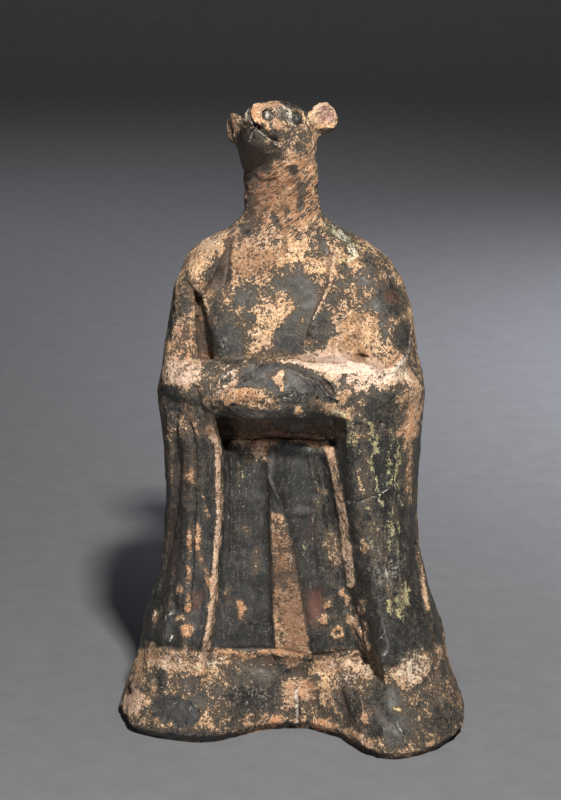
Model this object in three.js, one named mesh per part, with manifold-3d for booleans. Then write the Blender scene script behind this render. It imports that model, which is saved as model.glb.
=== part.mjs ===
// A zodiac tomb figure in dark earthenware: an official in a long robe, hands folded in wide hanging sleeves,
// with the head of a round-eared animal, read as a rat, raised on a long neck.
// One piece of fired clay, standing on the flat underside of its flared hem.
// Millimetres, +Z up, the figure faces -Y, and the origin is the middle of the hem on the ground.
// "left" and "right" are those of a viewer in front of the figure, so left is -X.
import * as THREE from 'three';
import { LoftGeometry } from 'three/addons/geometries/LoftGeometry.js';
import { mergeVertices } from 'three/addons/utils/BufferGeometryUtils.js';
import Module from 'manifold-3d';

const wasm = await Module();
wasm.setup();

// Driving sizes
const HEIGHT = 232;
const HEM_WIDTH = 128;
const HEM_DEPTH = 93;
const THIGH_WIDTH = 90.6;
const ELBOW_WIDTH = 96;
const SHOULDER_WIDTH = 77;
const NECK_WIDTH = 25.4;
const SKULL_WIDTH = 28.6;
const MUZZLE_LENGTH = 25.5;
const MUZZLE_WIDTH = 13;
const EAR_WIDTH = 12;
const EAR_THICKNESS = 4;
const HEAD_TURN = 20;
const HEAD_TILT = 31.5;
const FOOT_ROUND = 2.2;
const SLEEVE_STEP = 3;

// The carving is laid out in units of a 232nd of the height: a unit is a millimetre on the real figure
const unit = HEIGHT / 232;

// Heights of the landmarks, as shares of the whole height
const level = {
  foot: 0,
  edge: 0.0115 * HEIGHT,
  flare: 0.07 * HEIGHT,
  under: 0.122 * HEIGHT,
  crease: 0.132 * HEIGHT,
  knee: 0.23 * HEIGHT,
  thigh: 0.345 * HEIGHT,
  belt: 0.458 * HEIGHT,
  recess: 0.468 * HEIGHT,
  elbow: 0.53 * HEIGHT,
  forearm: 0.568 * HEIGHT,
  shelf: 0.597 * HEIGHT,
  lap: 0.612 * HEIGHT,
  chest: 0.66 * HEIGHT,
  armpit: 0.705 * HEIGHT,
  shoulder: 0.742 * HEIGHT,
  slope: 0.768 * HEIGHT,
  collar: 0.79 * HEIGHT,
  neckFoot: 0.812 * HEIGHT,
  neck: 0.842 * HEIGHT,
  throat: 0.885 * HEIGHT,
  jaw: 0.91 * HEIGHT,
  skull: 0.935 * HEIGHT,
};

const rad = THREE.MathUtils.degToRad;
const mix = THREE.MathUtils.lerp;
const smooth = (t) => THREE.MathUtils.smootherstep(t, 0, 1);

// The values of the stations at height z: they pass from one station to the next without overshoot
function between(stations, z) {
  const last = stations.length - 1;
  let i = 0;
  while (i < last - 1 && stations[i + 1].z <= z) i++;
  const [a, b] = [stations[i], stations[i + 1]];
  const before = stations[Math.max(i - 1, 0)];
  const after = stations[Math.min(i + 2, last)];
  const span = b.z - a.z;
  const t = THREE.MathUtils.clamp((z - a.z) / span, 0, 1);
  const value = {};
  for (const key of Object.keys(a)) {
    const slope = (p, q) => (q.z === p.z ? 0 : (q[key] - p[key]) / (q.z - p.z));
    const mid = slope(a, b);
    const meet = (s) => (s * mid <= 0 ? 0 : (2 * s * mid) / (s + mid));
    const from = before === a ? mid : meet(slope(before, a));
    const to = after === b ? mid : meet(slope(b, after));
    const [t2, t3] = [t * t, t * t * t];
    value[key] = a[key] * (2 * t3 - 3 * t2 + 1) + span * from * (t3 - 2 * t2 + t)
      + b[key] * (3 * t2 - 2 * t3) + span * to * (t3 - t2);
  }
  return value;
}

// The robe's outline at each height: half width, middle, depth in the middle of the front, at the lobe
// under each sleeve, and at the back
const side = HEM_WIDTH / 2;
const deep = HEM_DEPTH / 2;
const thigh = THIGH_WIDTH / 2;
const elbow = ELBOW_WIDTH / 2;
const shoulder = SHOULDER_WIDTH / 2;
const neck = NECK_WIDTH / 2;
const ofHem = (...shares) => shares.map((share) => share * deep);
const units = (...values) => values.map((value) => value * unit);
const inset = (depths, by) => depths.map((depth) => depth - by);
const hem = ofHem(0.344, 0.71, 1.108, 1);
const line = (z, half, x, [centre, left, right, back], power) => ({
  z, half, x: x * unit, centre, left, right, back, power,
});
const outline = [
  line(level.foot, side - FOOT_ROUND, 0, inset(hem, FOOT_ROUND), 2.7),
  line(0.3 * level.edge, side - 0.35 * FOOT_ROUND, 0, inset(hem, 0.35 * FOOT_ROUND), 2.7),
  line(level.edge, side, 0, hem, 2.7),
  line(level.flare, 0.935 * side, 0, ofHem(0.327, 0.667, 1.022, 0.91), 2.6),
  line(level.under, 0.878 * side, 0, ofHem(0.323, 0.615, 0.903, 0.815), 2.5),
  line(level.crease, 0.876 * side, 0, ofHem(0.357, 0.641, 0.929, 0.825), 2.5),
  line(level.knee, 1.083 * thigh, 0.4, units(16.2, 28, 37.4, 34), 2.5),
  line(0.29 * HEIGHT, 1.02 * thigh, 0.2, units(16, 27.4, 34.4, 31.2), 2.5),
  line(level.thigh, thigh, 0, units(16.2, 27.8, 33.4, 30.4), 2.5),
  line(level.belt, 1.025 * thigh, 0, units(15.6, 30.6, 34.8, 28.8), 2.5),
  line(level.recess, 1.03 * thigh, 0, units(11.8, 31, 35.2, 28.8), 2.5),
  line(level.elbow, elbow, -0.2, units(12.6, 34, 36.6, 29), 2.5),
  line(level.forearm, 0.975 * elbow, 0, units(21, 34, 35.6, 29), 2.5),
  line(level.shelf, 0.935 * elbow, -0.9, units(23, 29.6, 32, 28.6), 2.45),
  line(level.lap, 0.922 * elbow, -0.3, units(23, 19.5, 23.6, 28.3), 2.4),
  line(level.chest, 0.894 * elbow, 0, units(21.4, 18.6, 22.4, 27.6), 2.35),
  line(level.armpit, 0.83 * elbow, -0.3, units(18.8, 16.4, 19.6, 25.6), 2.3),
  line(level.shoulder, 0.955 * shoulder, -1.8, units(16.4, 14, 16.4, 22.6), 2.2),
  line(level.slope, 0.78 * shoulder, -3, units(14.8, 12, 14, 19), 2.15),
  line(level.collar, 0.53 * shoulder, -3.2, units(13, 11, 12, 15.4), 2.05),
  line(level.neckFoot, 1.12 * neck, -3.6, units(11.8, 10.6, 10.6, 13.4), 2),
  line(level.neck, neck, -3.7, units(11.2, 10.6, 10.6, 12.6), 2),
  line(level.throat, 1.02 * neck, -4.3, units(12.9, 12.4, 12.4, 12.4), 2),
  line(level.jaw, 1.07 * neck, -5.3, units(15.8, 14, 14, 12), 2),
  line(level.skull, 0.98 * neck, -5.4, units(15, 13, 13, 11), 2),
];

// Lines that run down the robe: x at the crease, at the knee, at the thigh and at the belt
const run = (atCrease, atKnee, atThigh, atBelt) => (z) => between([
  { z: level.crease, x: atCrease * unit },
  { z: level.knee, x: atKnee * unit },
  { z: level.thigh, x: atThigh * unit },
  { z: level.belt, x: atBelt * unit },
], THREE.MathUtils.clamp(z, level.crease, level.belt)).x;

const leftSleeveEdge = run(-30.4, -26.6, -24.6, -24.4);
const rightSleeveEdge = run(29.6, 24.4, 18.8, 15.4);

// Folds down the front: where each runs, its half width and how far it stands out or in. A ridge rises and
// falls, or sinks as a groove; a pleat steps out on the side it is turned to and fades away over its spread.
const ridge = (at, width, height) => ({ at, width: width * unit, height: height * unit });
const pleat = (at, turned, spread) => ({ ...ridge(at, 1, 1.9), turned, spread: spread * unit });
const folds = [
  ridge(run(-50.4, -46.6, -43.9, -44), 1.5, -1.2),
  ridge(run(-47.4, -43.4, -41.4, -42), 1.6, 1.1),
  ridge(run(-44, -41, -39.2, -39.4), 1.6, -1.2),
  ridge(run(-40.4, -37.4, -34.6, -35), 1.7, 1.2),
  ridge(run(-35.6, -32, -30, -30.4), 1.9, -1.3),
  ridge(run(-31.9, -28.3, -26.3, -26.1), 1.5, 1.6),
  ridge(run(-23.4, -22.6, -21.6, -20.8), 1.4, 0.7),
  ridge(run(-12, -12, -12.5, -12), 3.4, -0.9),
  pleat(run(-5.6, -6.5, -7.9, -7.9), 1, 12),
  pleat(run(6.8, 2.6, -2.8, -6.4), -1, 6),
  ridge(run(12.4, 7.4, 2.2, -1.4), 3.4, -1.4),
  ridge(run(20.4, 13.6, 9.8, 6.2), 1.5, 1.1),
  ridge(run(23.8, 18, 13.6, 9.8), 1.3, -0.7),
  ridge(run(27, 21.6, 16.8, 13.4), 1.4, 1.5),
  ridge(run(38, 33, 29, 27), 3, -0.5),
  ridge(run(53, 48.6, 44.6, 43.8), 1.5, -1.2),
];

// How far the folds push the front out at x: they fade out at the hem, the sleeves' folds also towards the
// elbow, and those of the skirt end at the belt
function relief(x, z) {
  const onSkirt = x > leftSleeveEdge(z) && x < rightSleeveEdge(z);
  const end = onSkirt ? level.recess : level.elbow + 4 * unit;
  const rising = smooth((z - 0.3 * level.under) / level.under);
  const ending = smooth((z - level.belt) / (end - level.belt));
  let out = 0;
  for (const fold of folds) {
    const away = (x - fold.at(z)) / fold.width;
    if (fold.spread) {
      const inside = smooth(0.5 + 0.5 * away * fold.turned);
      out += fold.height * inside * Math.exp(-Math.max(away * fold.turned, 0) * fold.width / fold.spread);
    } else {
      out += fold.height * Math.exp(-away * away);
    }
  }
  return out * rising * (1 - ending);
}

// Depth of the front at x: the middle passes into the lobes at the sleeves' inner edges, sharply between
// the belt and the crease and softly on the flared hem
function frontDepth(s, x) {
  const flared = smooth((level.crease - s.z) / (0.4 * level.crease));
  const raised = smooth((s.z - level.shelf) / (14 * unit));
  const step = mix(mix(SLEEVE_STEP, 0.31 * HEM_WIDTH, flared), 0.146 * ELBOW_WIDTH, raised);
  const leftStart = mix(leftSleeveEdge(s.z), unit, flared);
  const rightStart = mix(rightSleeveEdge(s.z), 2 * unit, flared);
  const left = smooth((leftStart - x) / step);
  const right = smooth((x - rightStart) / step);
  const depth = s.centre + (s.left - s.centre) * left + (s.right - s.centre) * right;
  const share = Math.min(Math.abs(x - s.x) / s.half, 1);
  const round = (1 - share ** s.power) ** (1 / s.power);
  return round * depth + Math.min(1, 3 * round) * relief(x, s.z);
}

// Columns of the front, as x at the thigh: one on each fold and on both its sides, and enough between them
function frontColumns() {
  const s = between(outline, level.thigh);
  const marks = [];
  for (const fold of folds) {
    const x = fold.at(level.thigh);
    marks.push({ x: x - fold.width, of: fold.at, off: -fold.width });
    if (!fold.spread) marks.push({ x, of: fold.at, off: 0 });
    marks.push({ x: x + fold.width, of: fold.at, off: fold.width });
  }
  for (const [edge, width] of [[leftSleeveEdge, -SLEEVE_STEP], [rightSleeveEdge, SLEEVE_STEP]]) {
    for (const off of [0, width]) marks.push({ x: edge(level.thigh) + off, of: edge, off });
  }
  for (const share of [-0.993, 0.993]) marks.push({ x: share * s.half, share });
  marks.sort((a, b) => a.x - b.x);
  const kept = [];
  for (const mark of marks) {
    const before = kept.at(-1);
    const away = before ? mark.x - before.x : unit;
    if (away < 0.75 * unit) continue;
    if (away > 5 * unit) kept.push({ x: mark.x - away / 2, pair: [before, mark] });
    kept.push(mark);
  }
  return kept;
}

const columns = frontColumns();

function columnX(mark, s) {
  if (mark.pair) return (columnX(mark.pair[0], s) + columnX(mark.pair[1], s)) / 2;
  if (mark.share) return s.x + mark.share * s.half;
  const z = THREE.MathUtils.clamp(s.z, level.crease, level.belt);
  const there = between(outline, z);
  return s.x + ((mark.of(z) + mark.off - there.x) / there.half) * s.half;
}

// The columns' x on one ring, kept in order and inside the outline
function spaced(s) {
  const gap = 0.004 * s.half;
  const xs = columns.map((mark) => columnX(mark, s));
  for (let i = 0; i < xs.length; i++) xs[i] = Math.max(xs[i], i ? xs[i - 1] + gap : s.x - s.half + gap);
  for (let i = xs.length - 1; i >= 0; i--) {
    xs[i] = Math.min(xs[i], i < xs.length - 1 ? xs[i + 1] - gap : s.x + s.half - gap);
  }
  return xs;
}

// How far the crease above the hem is lifted at x: it runs higher under the sleeves than in the middle
function lift(s, x) {
  const near = Math.exp(-(((s.z - level.crease) / (12 * unit)) ** 2));
  const left = smooth((leftSleeveEdge(s.z) + 2 * unit - x) / (8 * unit));
  const right = smooth((x - rightSleeveEdge(s.z)) / (8 * unit));
  const share = Math.abs(x - s.x) / s.half;
  return near * (2.6 * left + 3.8 * right) * unit * (1 - share ** 4);
}

// One ring of the body: the front from left to right, then round the back
function bodyRing(z) {
  const s = { ...between(outline, z), z };
  const points = [new THREE.Vector3(s.x - s.half, 0, z)];
  for (const x of spaced(s)) points.push(new THREE.Vector3(x, -frontDepth(s, x), z + lift(s, x)));
  const backs = 13;
  for (let i = 0; i < backs; i++) {
    const angle = (i / backs) * Math.PI;
    const [c, d] = [Math.cos(angle), Math.sin(angle)];
    const x = s.x + Math.sign(c) * Math.abs(c) ** (2 / s.power) * s.half;
    points.push(new THREE.Vector3(x, d ** (2 / s.power) * s.back, z));
  }
  return points;
}

function body() {
  const rows = [level.foot, 0.3 * level.edge, level.edge];
  const band = (from, to, count) => {
    for (let i = 1; i <= count; i++) rows.push(mix(from, to, i / count));
  };
  band(level.edge, level.under, 6);
  band(level.under, level.crease, 2);
  band(level.crease, level.belt, 11);
  band(level.belt, level.recess, 2);
  band(level.recess, level.forearm, 3);
  band(level.forearm, level.lap, 4);
  band(level.lap, level.shoulder, 5);
  band(level.shoulder, level.neck, 8);
  band(level.neck, level.skull, 3);
  return solid(new LoftGeometry(rows.map(bodyRing), { capStart: true, capEnd: true }));
}

// A closed level ring: half width and depths round a centre, from round (power 2) to boxy (more)
function ring(s, count) {
  const points = [];
  for (let i = 0; i < count; i++) {
    const angle = (i / count) * 2 * Math.PI;
    const [c, d] = [Math.cos(angle), Math.sin(angle)];
    const depth = d < 0 ? s.front : s.back;
    points.push(new THREE.Vector3(
      s.x + Math.sign(c) * Math.abs(c) ** (2 / s.power) * s.half,
      s.y + Math.sign(d) * Math.abs(d) ** (2 / s.power) * depth,
      s.z,
    ));
  }
  return points;
}

// Upright form through stations
function bar(stations, count, rows) {
  const [low, high] = [stations[0].z, stations.at(-1).z];
  const rings = [];
  for (let i = 0; i <= rows; i++) {
    const z = mix(low, high, i / rows);
    rings.push(ring({ ...between(stations, z), z }, count));
  }
  return solid(new LoftGeometry(rings, { capStart: true, capEnd: true }));
}

// Level roll of cloth along a curve, with half height and half depth that vary along it
function roll(curve, size, count, rows) {
  const rings = [];
  for (let i = 0; i <= rows; i++) {
    const t = i / rows;
    const centre = curve.getPoint(t);
    const along = curve.getTangent(t);
    const out = new THREE.Vector3(-along.y, along.x, 0).normalize();
    const up = new THREE.Vector3().crossVectors(along, out).normalize();
    const { high, depth } = size(t);
    const points = [];
    for (let j = 0; j < count; j++) {
      const angle = (j / count) * 2 * Math.PI;
      const point = centre.clone().addScaledVector(out, depth * Math.cos(angle));
      points.push(point.addScaledVector(up, high * Math.sin(angle)));
    }
    rings.push(points);
  }
  return solid(new LoftGeometry(rings, { capStart: true, capEnd: true }));
}

// A geometry's bare surface, its double points joined
function welded(geometry) {
  const bare = new THREE.BufferGeometry();
  bare.setAttribute('position', geometry.getAttribute('position'));
  bare.setIndex(geometry.index);
  return mergeVertices(bare, 1e-4);
}

function sphere(count, rows) {
  return welded(new THREE.SphereGeometry(1, count, rows));
}

// A closed geometry as a solid
function solid(geometry) {
  const merged = welded(geometry);
  const faces = [];
  const index = merged.index.array;
  for (let i = 0; i < index.length; i += 3) {
    const [a, b, c] = [index[i], index[i + 1], index[i + 2]];
    if (a !== b && b !== c && a !== c) faces.push(a, b, c);
  }
  const vertProperties = merged.attributes.position.array;
  return new wasm.Manifold(new wasm.Mesh({ numProp: 3, vertProperties, triVerts: new Uint32Array(faces) }));
}

const union = (...solids) => solids.reduce((a, b) => a.add(b));

// Forearms meeting in front, and the folded hands in their cuffs
function forearms() {
  const place = (x, y, z) => new THREE.Vector3(x, y, z).multiplyScalar(unit).setZ(level.forearm + z * unit);
  const path = new THREE.CatmullRomCurve3([
    place(-41.5, -3, -1),
    place(-39.5, -13, 0),
    place(-30, -22.6, 0),
    place(-6, -28.5, 0.6),
    place(14, -27.5, -0.6),
    place(31, -23, -2.6),
    place(39.5, -14, -2.6),
    place(41.5, -3, -3),
  ]);
  const size = (t) => {
    const middle = Math.exp(-(((t - 0.45) / 0.2) ** 2));
    const end = smooth(Math.abs(t - 0.5) / 0.25 - 1);
    return {
      high: (8.8 + 1.6 * middle - 1.5 * end) * unit,
      depth: (8 + 0.8 * middle - 2.6 * end) * unit,
    };
  };
  const fist = (count, rows, halves, centre) => {
    const tilted = sphere(count, rows).scale(...units(...halves)).rotateY(rad(4));
    return solid(tilted.translate(...place(...centre).toArray()));
  };
  const muff = fist(18, 10, [24.5, 9.4, 11.6], [-5.6, -29.6, 1]);
  const nearHand = fist(16, 8, [17, 6.2, 8.2], [-9.6, -33, -1.4]);
  return union(roll(path, size, 14, 20), muff, nearHand);
}

// One level of an upright form: its height, its middle, its half width and depths, and how boxy it is
function station(z, place, sizes, power) {
  const [x, y] = units(...place);
  const [half, front, back] = units(...sizes);
  return { z, x, y, half, front, back, power };
}

// Upper arm on the left, set off from the chest by a deep groove
function leftUpperArm() {
  const at = (z, x, half, front) => station(z, [x, -5], [half, front, 12], 2.2);
  return bar([
    at(level.elbow, -39, 7.4, 12),
    at(level.forearm, -39, 7.4, 15),
    at(level.lap, -38.4, 7, 14.4),
    at(level.chest, -37.2, 6.4, 13.4),
    at(level.armpit, -35.2, 6.6, 12.6),
    at(level.shoulder, -30.8, 6.9, 10.6),
    at(level.slope, -27.6, 4.6, 7),
  ], 18, 12);
}

// Groove between the left arm and the chest, open to the front
function armGroove() {
  const at = (z, x, half, back) => station(z, [x, -17], [half, 9, back], 2);
  return bar([
    at(level.shelf, -30, 2.8, 9),
    at(0.64 * HEIGHT, -30.6, 2.2, 8),
    at(0.68 * HEIGHT, -31.8, 1.4, 6),
    at(0.712 * HEIGHT, -33.6, 0.6, 2.4),
  ], 12, 8);
}

// Upper arm on the right, whose wide sleeve sags over the forearm in a pouch
function rightUpperArm() {
  const at = (z, x, y, half, front) => station(z, [x, y], [half, front, 12], 2.1);
  return bar([
    at(0.57 * HEIGHT, 33, -15, 2.6, 7.5),
    at(0.58 * HEIGHT, 33, -14, 6.6, 12.4),
    at(0.6 * HEIGHT, 32, -12, 9.2, 15.8),
    at(0.63 * HEIGHT, 31, -9, 10.6, 16.6),
    at(0.67 * HEIGHT, 29.6, -6, 10.6, 15),
    at(level.armpit, 27, -4, 10.2, 13.4),
    at(level.shoulder, 23.6, -2.6, 8.6, 11.4),
    at(level.slope, 18.6, -1.6, 5.6, 8),
  ], 20, 13);
}

// How far a tapered snout reaches from the skull's middle in a direction
function snout(direction, axis, length, base, taper) {
  const cos = direction.dot(axis);
  if (cos <= 0) return 0;
  const sin = Math.sqrt(Math.max(1 - cos * cos, 0));
  const flank = (sin + taper * cos) / base;
  const end = cos / length;
  return (flank ** 5 + end ** 5) ** (-1 / 5);
}

// Skull, muzzle and lower jaw as one form, worked out direction by direction from the skull's middle,
// facing -Y and level
function headForm() {
  const geometry = sphere(24, 20);
  const skull = SKULL_WIDTH / 2;
  const aim = (angle) => new THREE.Vector3(0, -Math.cos(rad(angle)), Math.sin(rad(angle)));
  const [nose, chin] = [aim(1), aim(-17)];
  const position = geometry.getAttribute('position');
  const turn = new THREE.Quaternion().setFromUnitVectors(new THREE.Vector3(0, 1, 0), nose);
  const p = new THREE.Vector3();
  for (let i = 0; i < position.count; i++) {
    p.fromBufferAttribute(position, i).normalize().applyQuaternion(turn);
    const round = skull * (1 - (p.z < 0 ? 0.14 : 0.02) * p.z * p.z);
    const muzzle = snout(p, nose, MUZZLE_LENGTH, 0.68 * MUZZLE_WIDTH, 0.12);
    const jaw = snout(p, chin, 0.86 * MUZZLE_LENGTH, 0.66 * MUZZLE_WIDTH, 0.15);
    const blend = 7;
    const reach = (round ** blend + muzzle ** blend + jaw ** blend) ** (1 / blend);
    position.setXYZ(i, p.x * reach, p.y * reach, p.z * reach);
  }
  return solid(geometry);
}

// Round ear on a short thick stem, hollowed in front; turned says how far it faces away from -Y
function ear(sign, turned, place) {
  const radius = EAR_WIDTH / 2;
  const disc = sphere(14, 8).scale(radius, EAR_THICKNESS / 2, 0.98 * radius);
  const dish = sphere(10, 6).scale(0.62 * radius, 0.34 * EAR_THICKNESS, 0.6 * radius);
  dish.translate(0.06 * radius * sign, -0.54 * EAR_THICKNESS, 0.03 * radius);
  const stem = sphere(10, 6).scale(0.95 * radius, 0.55 * EAR_THICKNESS, 0.66 * radius);
  stem.translate(-0.75 * radius * sign, 0.05 * EAR_THICKNESS, -0.07 * radius);
  const whole = union(solid(disc), solid(stem)).subtract(solid(dish));
  return whole.rotate([0, 0, turned * sign]).translate(place);
}

// Groove cut with a round tool along a line of points
function cutLine(points, width) {
  const path = new THREE.CatmullRomCurve3(points.map((p) => new THREE.Vector3(...p)));
  const tool = new THREE.Shape().absarc(0, 0, width / 2, 0, 2 * Math.PI);
  const options = { steps: 12, curveSegments: 3, extrudePath: path, bevelEnabled: false };
  return solid(new THREE.ExtrudeGeometry(tool, options));
}

// The whole head: mouth, nostrils and eyes are cut into the level form as shares of the muzzle and the
// skull; then it is tilted up, turned to the left and given its ears
function head() {
  const lips = [[0.55, 0.455, 0.52], [0.49, 0.61, 0.43], [0.35, 0.8, 0.34], [0.15, 0.925, 0.28]];
  const lip = (sign) => ([x, y, z]) => [sign * x * MUZZLE_WIDTH, -y * MUZZLE_LENGTH, -z * MUZZLE_WIDTH];
  const mouth = [...lips.map(lip(1)), ...lips.map(lip(-1)).reverse()];
  const ball = (place, radius) => solid(sphere(10, 7).scale(radius, radius, radius).translate(...place));
  const onSkull = (x, y, z) => [x * SKULL_WIDTH, y * SKULL_WIDTH, z * SKULL_WIDTH];
  let made = headForm().subtract(cutLine(mouth, 0.14 * MUZZLE_WIDTH));
  for (const sign of [-1, 1]) {
    const nostril = [0.208 * MUZZLE_WIDTH * sign, -0.94 * MUZZLE_LENGTH, 0.12 * MUZZLE_WIDTH];
    made = made.subtract(ball(nostril, 0.092 * MUZZLE_WIDTH));
    made = made.subtract(ball(onSkull(0.322 * sign, -0.343, 0.21), 0.084 * SKULL_WIDTH));
    made = made.add(ball(onSkull(0.29 * sign, -0.308, 0.189), 0.07 * SKULL_WIDTH));
  }
  const turned = made.rotate([-HEAD_TILT, 0, -HEAD_TURN]).translate([...units(-5.4, -2.6), 0.928 * HEIGHT]);
  const rightEar = ear(1, 30, [...units(10.6, -1.8), 0.961 * HEIGHT]);
  const leftEar = ear(-1, 68, [...units(-20.2, 2.6), 0.944 * HEIGHT]);
  return union(turned, rightEar, leftEar);
}

function figure() {
  const robed = union(body(), leftUpperArm(), rightUpperArm()).subtract(armGroove());
  return union(robed, forearms(), head());
}

// The finished solid as a mesh
function meshOf(made, name, material) {
  const { vertProperties, triVerts } = made.getMesh();
  const geometry = new THREE.BufferGeometry();
  geometry.setAttribute('position', new THREE.BufferAttribute(vertProperties, 3));
  geometry.setIndex(new THREE.BufferAttribute(triVerts, 1));
  geometry.computeVertexNormals();
  const mesh = new THREE.Mesh(geometry, material);
  mesh.name = name;
  return mesh;
}

const earthenware = new THREE.MeshStandardMaterial({ color: 0x4a4541, roughness: 0.85, metalness: 0 });
const zodiacFigure = new THREE.Group();
zodiacFigure.add(meshOf(figure(), 'zodiac_figure', earthenware));

export default zodiacFigure;
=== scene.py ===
"""Visual model of a zodiac tomb figure: a robed official with the raised head of a round-eared animal.

The figure is one piece of dark grey earthenware. A dense copy of its solid is smoothed, carved with the worn
relief of face, cloth and hem, and dressed with the burial soil, lime and stains that cling to it, with shade
painted into its grooves and recesses and a few highlights painted on. Places on
the front are given as the photograph shows them, in pixels of its frame, through the camera that renders it.
Lengths in the classes are millimetres. The figure faces -Y and stands on z = 0, and left is -X."""
import logging
import math
from dataclasses import dataclass, field
from enum import Enum
from itertools import product

import bmesh
import bpy
import numpy as np
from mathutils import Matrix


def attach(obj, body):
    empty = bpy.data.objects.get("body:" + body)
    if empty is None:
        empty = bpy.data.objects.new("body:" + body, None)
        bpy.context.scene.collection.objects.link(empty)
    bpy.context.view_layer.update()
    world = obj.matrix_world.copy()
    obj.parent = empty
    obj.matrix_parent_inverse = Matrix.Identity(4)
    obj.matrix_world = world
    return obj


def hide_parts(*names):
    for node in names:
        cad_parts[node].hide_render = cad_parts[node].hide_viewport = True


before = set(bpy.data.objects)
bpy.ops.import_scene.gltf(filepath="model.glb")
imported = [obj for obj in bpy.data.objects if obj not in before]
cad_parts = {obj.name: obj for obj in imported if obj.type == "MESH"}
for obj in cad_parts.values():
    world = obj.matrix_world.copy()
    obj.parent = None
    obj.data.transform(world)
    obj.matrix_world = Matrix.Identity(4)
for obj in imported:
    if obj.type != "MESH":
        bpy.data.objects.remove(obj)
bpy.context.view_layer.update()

log = logging.getLogger("figure")

MM = 0.001
NODE = "zodiac_figure"

Path = tuple[tuple[float, float], ...]
Waves = dict[float, float]
Socket = bpy.types.NodeSocket


def smooth(value: np.ndarray) -> np.ndarray:
    """A smooth step from 0 at 0 to 1 at 1."""
    t = np.clip(value, 0.0, 1.0)
    return t * t * (3.0 - 2.0 * t)


@dataclass(frozen=True)
class PhotoView:
    """The camera of the photograph, and the photograph's own pixels.

    Its width, height and focal length are pixels, and the camera looks down by its elevation in degrees."""

    wide: int = 561
    high: int = 800
    distance: float = 1000.0
    elevation: float = 15.0
    target: tuple[float, float, float] = (-4.2, 0.0, 121.0)
    focal: float = 2780.0
    sensor: float = 36.0

    @property
    def ahead(self) -> np.ndarray:
        """The direction in which the camera looks."""
        angle = math.radians(self.elevation)
        return np.array((0.0, math.cos(angle), -math.sin(angle)))

    def project(self, places: np.ndarray) -> tuple[np.ndarray, np.ndarray]:
        """Finds places in the photograph.

        Args:
            places: Points in millimetres, one a row.

        Returns:
            Their pixels, and how far each is ahead of the camera.
        """
        away = places - np.array(self.target)
        upward = np.cross((1.0, 0.0, 0.0), self.ahead)
        depth = self.distance + away @ self.ahead
        across = self.wide / 2 + self.focal * away[:, 0] / depth
        down = self.high / 2 - self.focal * (away @ upward) / depth
        return np.column_stack((across, down)), depth

    def place_camera(self) -> bpy.types.Object:
        """Makes the scene's camera.

        Returns:
            The camera object.
        """
        data = bpy.data.cameras.new("camera")
        data.sensor_width = self.sensor
        data.lens = self.focal * self.sensor / self.high
        data.clip_end = 20.0
        camera = bpy.data.objects.new("camera", data)
        camera.location = (np.array(self.target) - self.distance * self.ahead) * MM
        camera.rotation_euler = (math.radians(90.0 - self.elevation), 0.0, 0.0)
        bpy.context.collection.objects.link(camera)
        bpy.context.scene.camera = camera
        return camera


@dataclass(frozen=True)
class Grain:
    """Smooth noise in space; each seed reads the same field of random values at another place."""

    seed: int
    apart = 17.31
    primes = (73856093, 19349663, 83492791)
    seed_prime = 2654435761
    mixing_prime = 1274126177

    def at(self, places: np.ndarray, wave: float) -> np.ndarray:
        """Reads one layer of noise.

        Args:
            places: Points in millimetres, one a row.
            wave: Size of its lumps in millimetres.

        Returns:
            A value from -1 to 1 for each point.
        """
        scaled = places / wave + self.seed * self.apart
        cell = np.floor(scaled)
        t = scaled - cell
        t = t * t * t * (t * (t * 6.0 - 15.0) + 10.0)
        total = np.zeros(len(places))
        for corner in product((0, 1), repeat=3):
            weight = np.prod(np.where(corner, t, 1.0 - t), axis=1)
            total += weight * self._corner(cell.astype(np.int64) + corner)
        return total

    def layers(self, places: np.ndarray, waves: Waves) -> np.ndarray:
        """Adds layers of noise.

        Args:
            places: Points in millimetres, one a row.
            waves: The height of each layer, by the size of its lumps in millimetres.

        Returns:
            Their sum for each point.
        """
        return sum(height * self.at(places, wave) for wave, height in waves.items())

    def _corner(self, cell: np.ndarray) -> np.ndarray:
        """Gives each cell of the grid its own random value.

        Args:
            cell: Whole coordinates, one cell a row.

        Returns:
            A value from -1 to 1 for each cell.
        """
        key = cell @ np.array(self.primes) + self.seed * self.seed_prime
        key = (key ^ (key >> 13)) * self.mixing_prime
        return ((key ^ (key >> 16)) & 0xFFFF) / 32767.5 - 1.0


class Mark:
    """Something drawn on the front of the figure where the photograph shows it."""

    amount: float

    def share(self, pixels: np.ndarray) -> np.ndarray:
        """How much of the mark lies at each pixel, from 0 to 1."""
        raise NotImplementedError


@dataclass(frozen=True)
class Patch(Mark):
    """An oval spot: its middle, half sizes and clockwise turn in the photograph, and how soft its rim is."""

    x: float
    y: float
    wide: float
    high: float
    amount: float = 0.5
    turn: float = 0.0
    soft: float = 0.5

    def radius(self, pixels: np.ndarray) -> np.ndarray:
        """Measures how far pixels are from the middle.

        Args:
            pixels: Points of the photograph, one a row.

        Returns:
            The distance of each, which is 1 on the rim.
        """
        turn = math.radians(self.turn)
        away = pixels - (self.x, self.y)
        along = away[:, 0] * math.cos(turn) + away[:, 1] * math.sin(turn)
        aside = away[:, 1] * math.cos(turn) - away[:, 0] * math.sin(turn)
        return np.hypot(along / self.wide, aside / self.high)

    def share(self, pixels: np.ndarray) -> np.ndarray:
        """How much of the spot lies at each pixel, from 0 to 1."""
        return smooth((1.0 + self.soft - self.radius(pixels)) / (2.0 * self.soft))


@dataclass(frozen=True)
class Rim(Patch):
    """The rim of an oval spot."""

    def share(self, pixels: np.ndarray) -> np.ndarray:
        """How much of the rim lies at each pixel, from 0 to 1."""
        return np.exp(-(((self.radius(pixels) - 1.0) / self.soft) ** 2))


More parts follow.
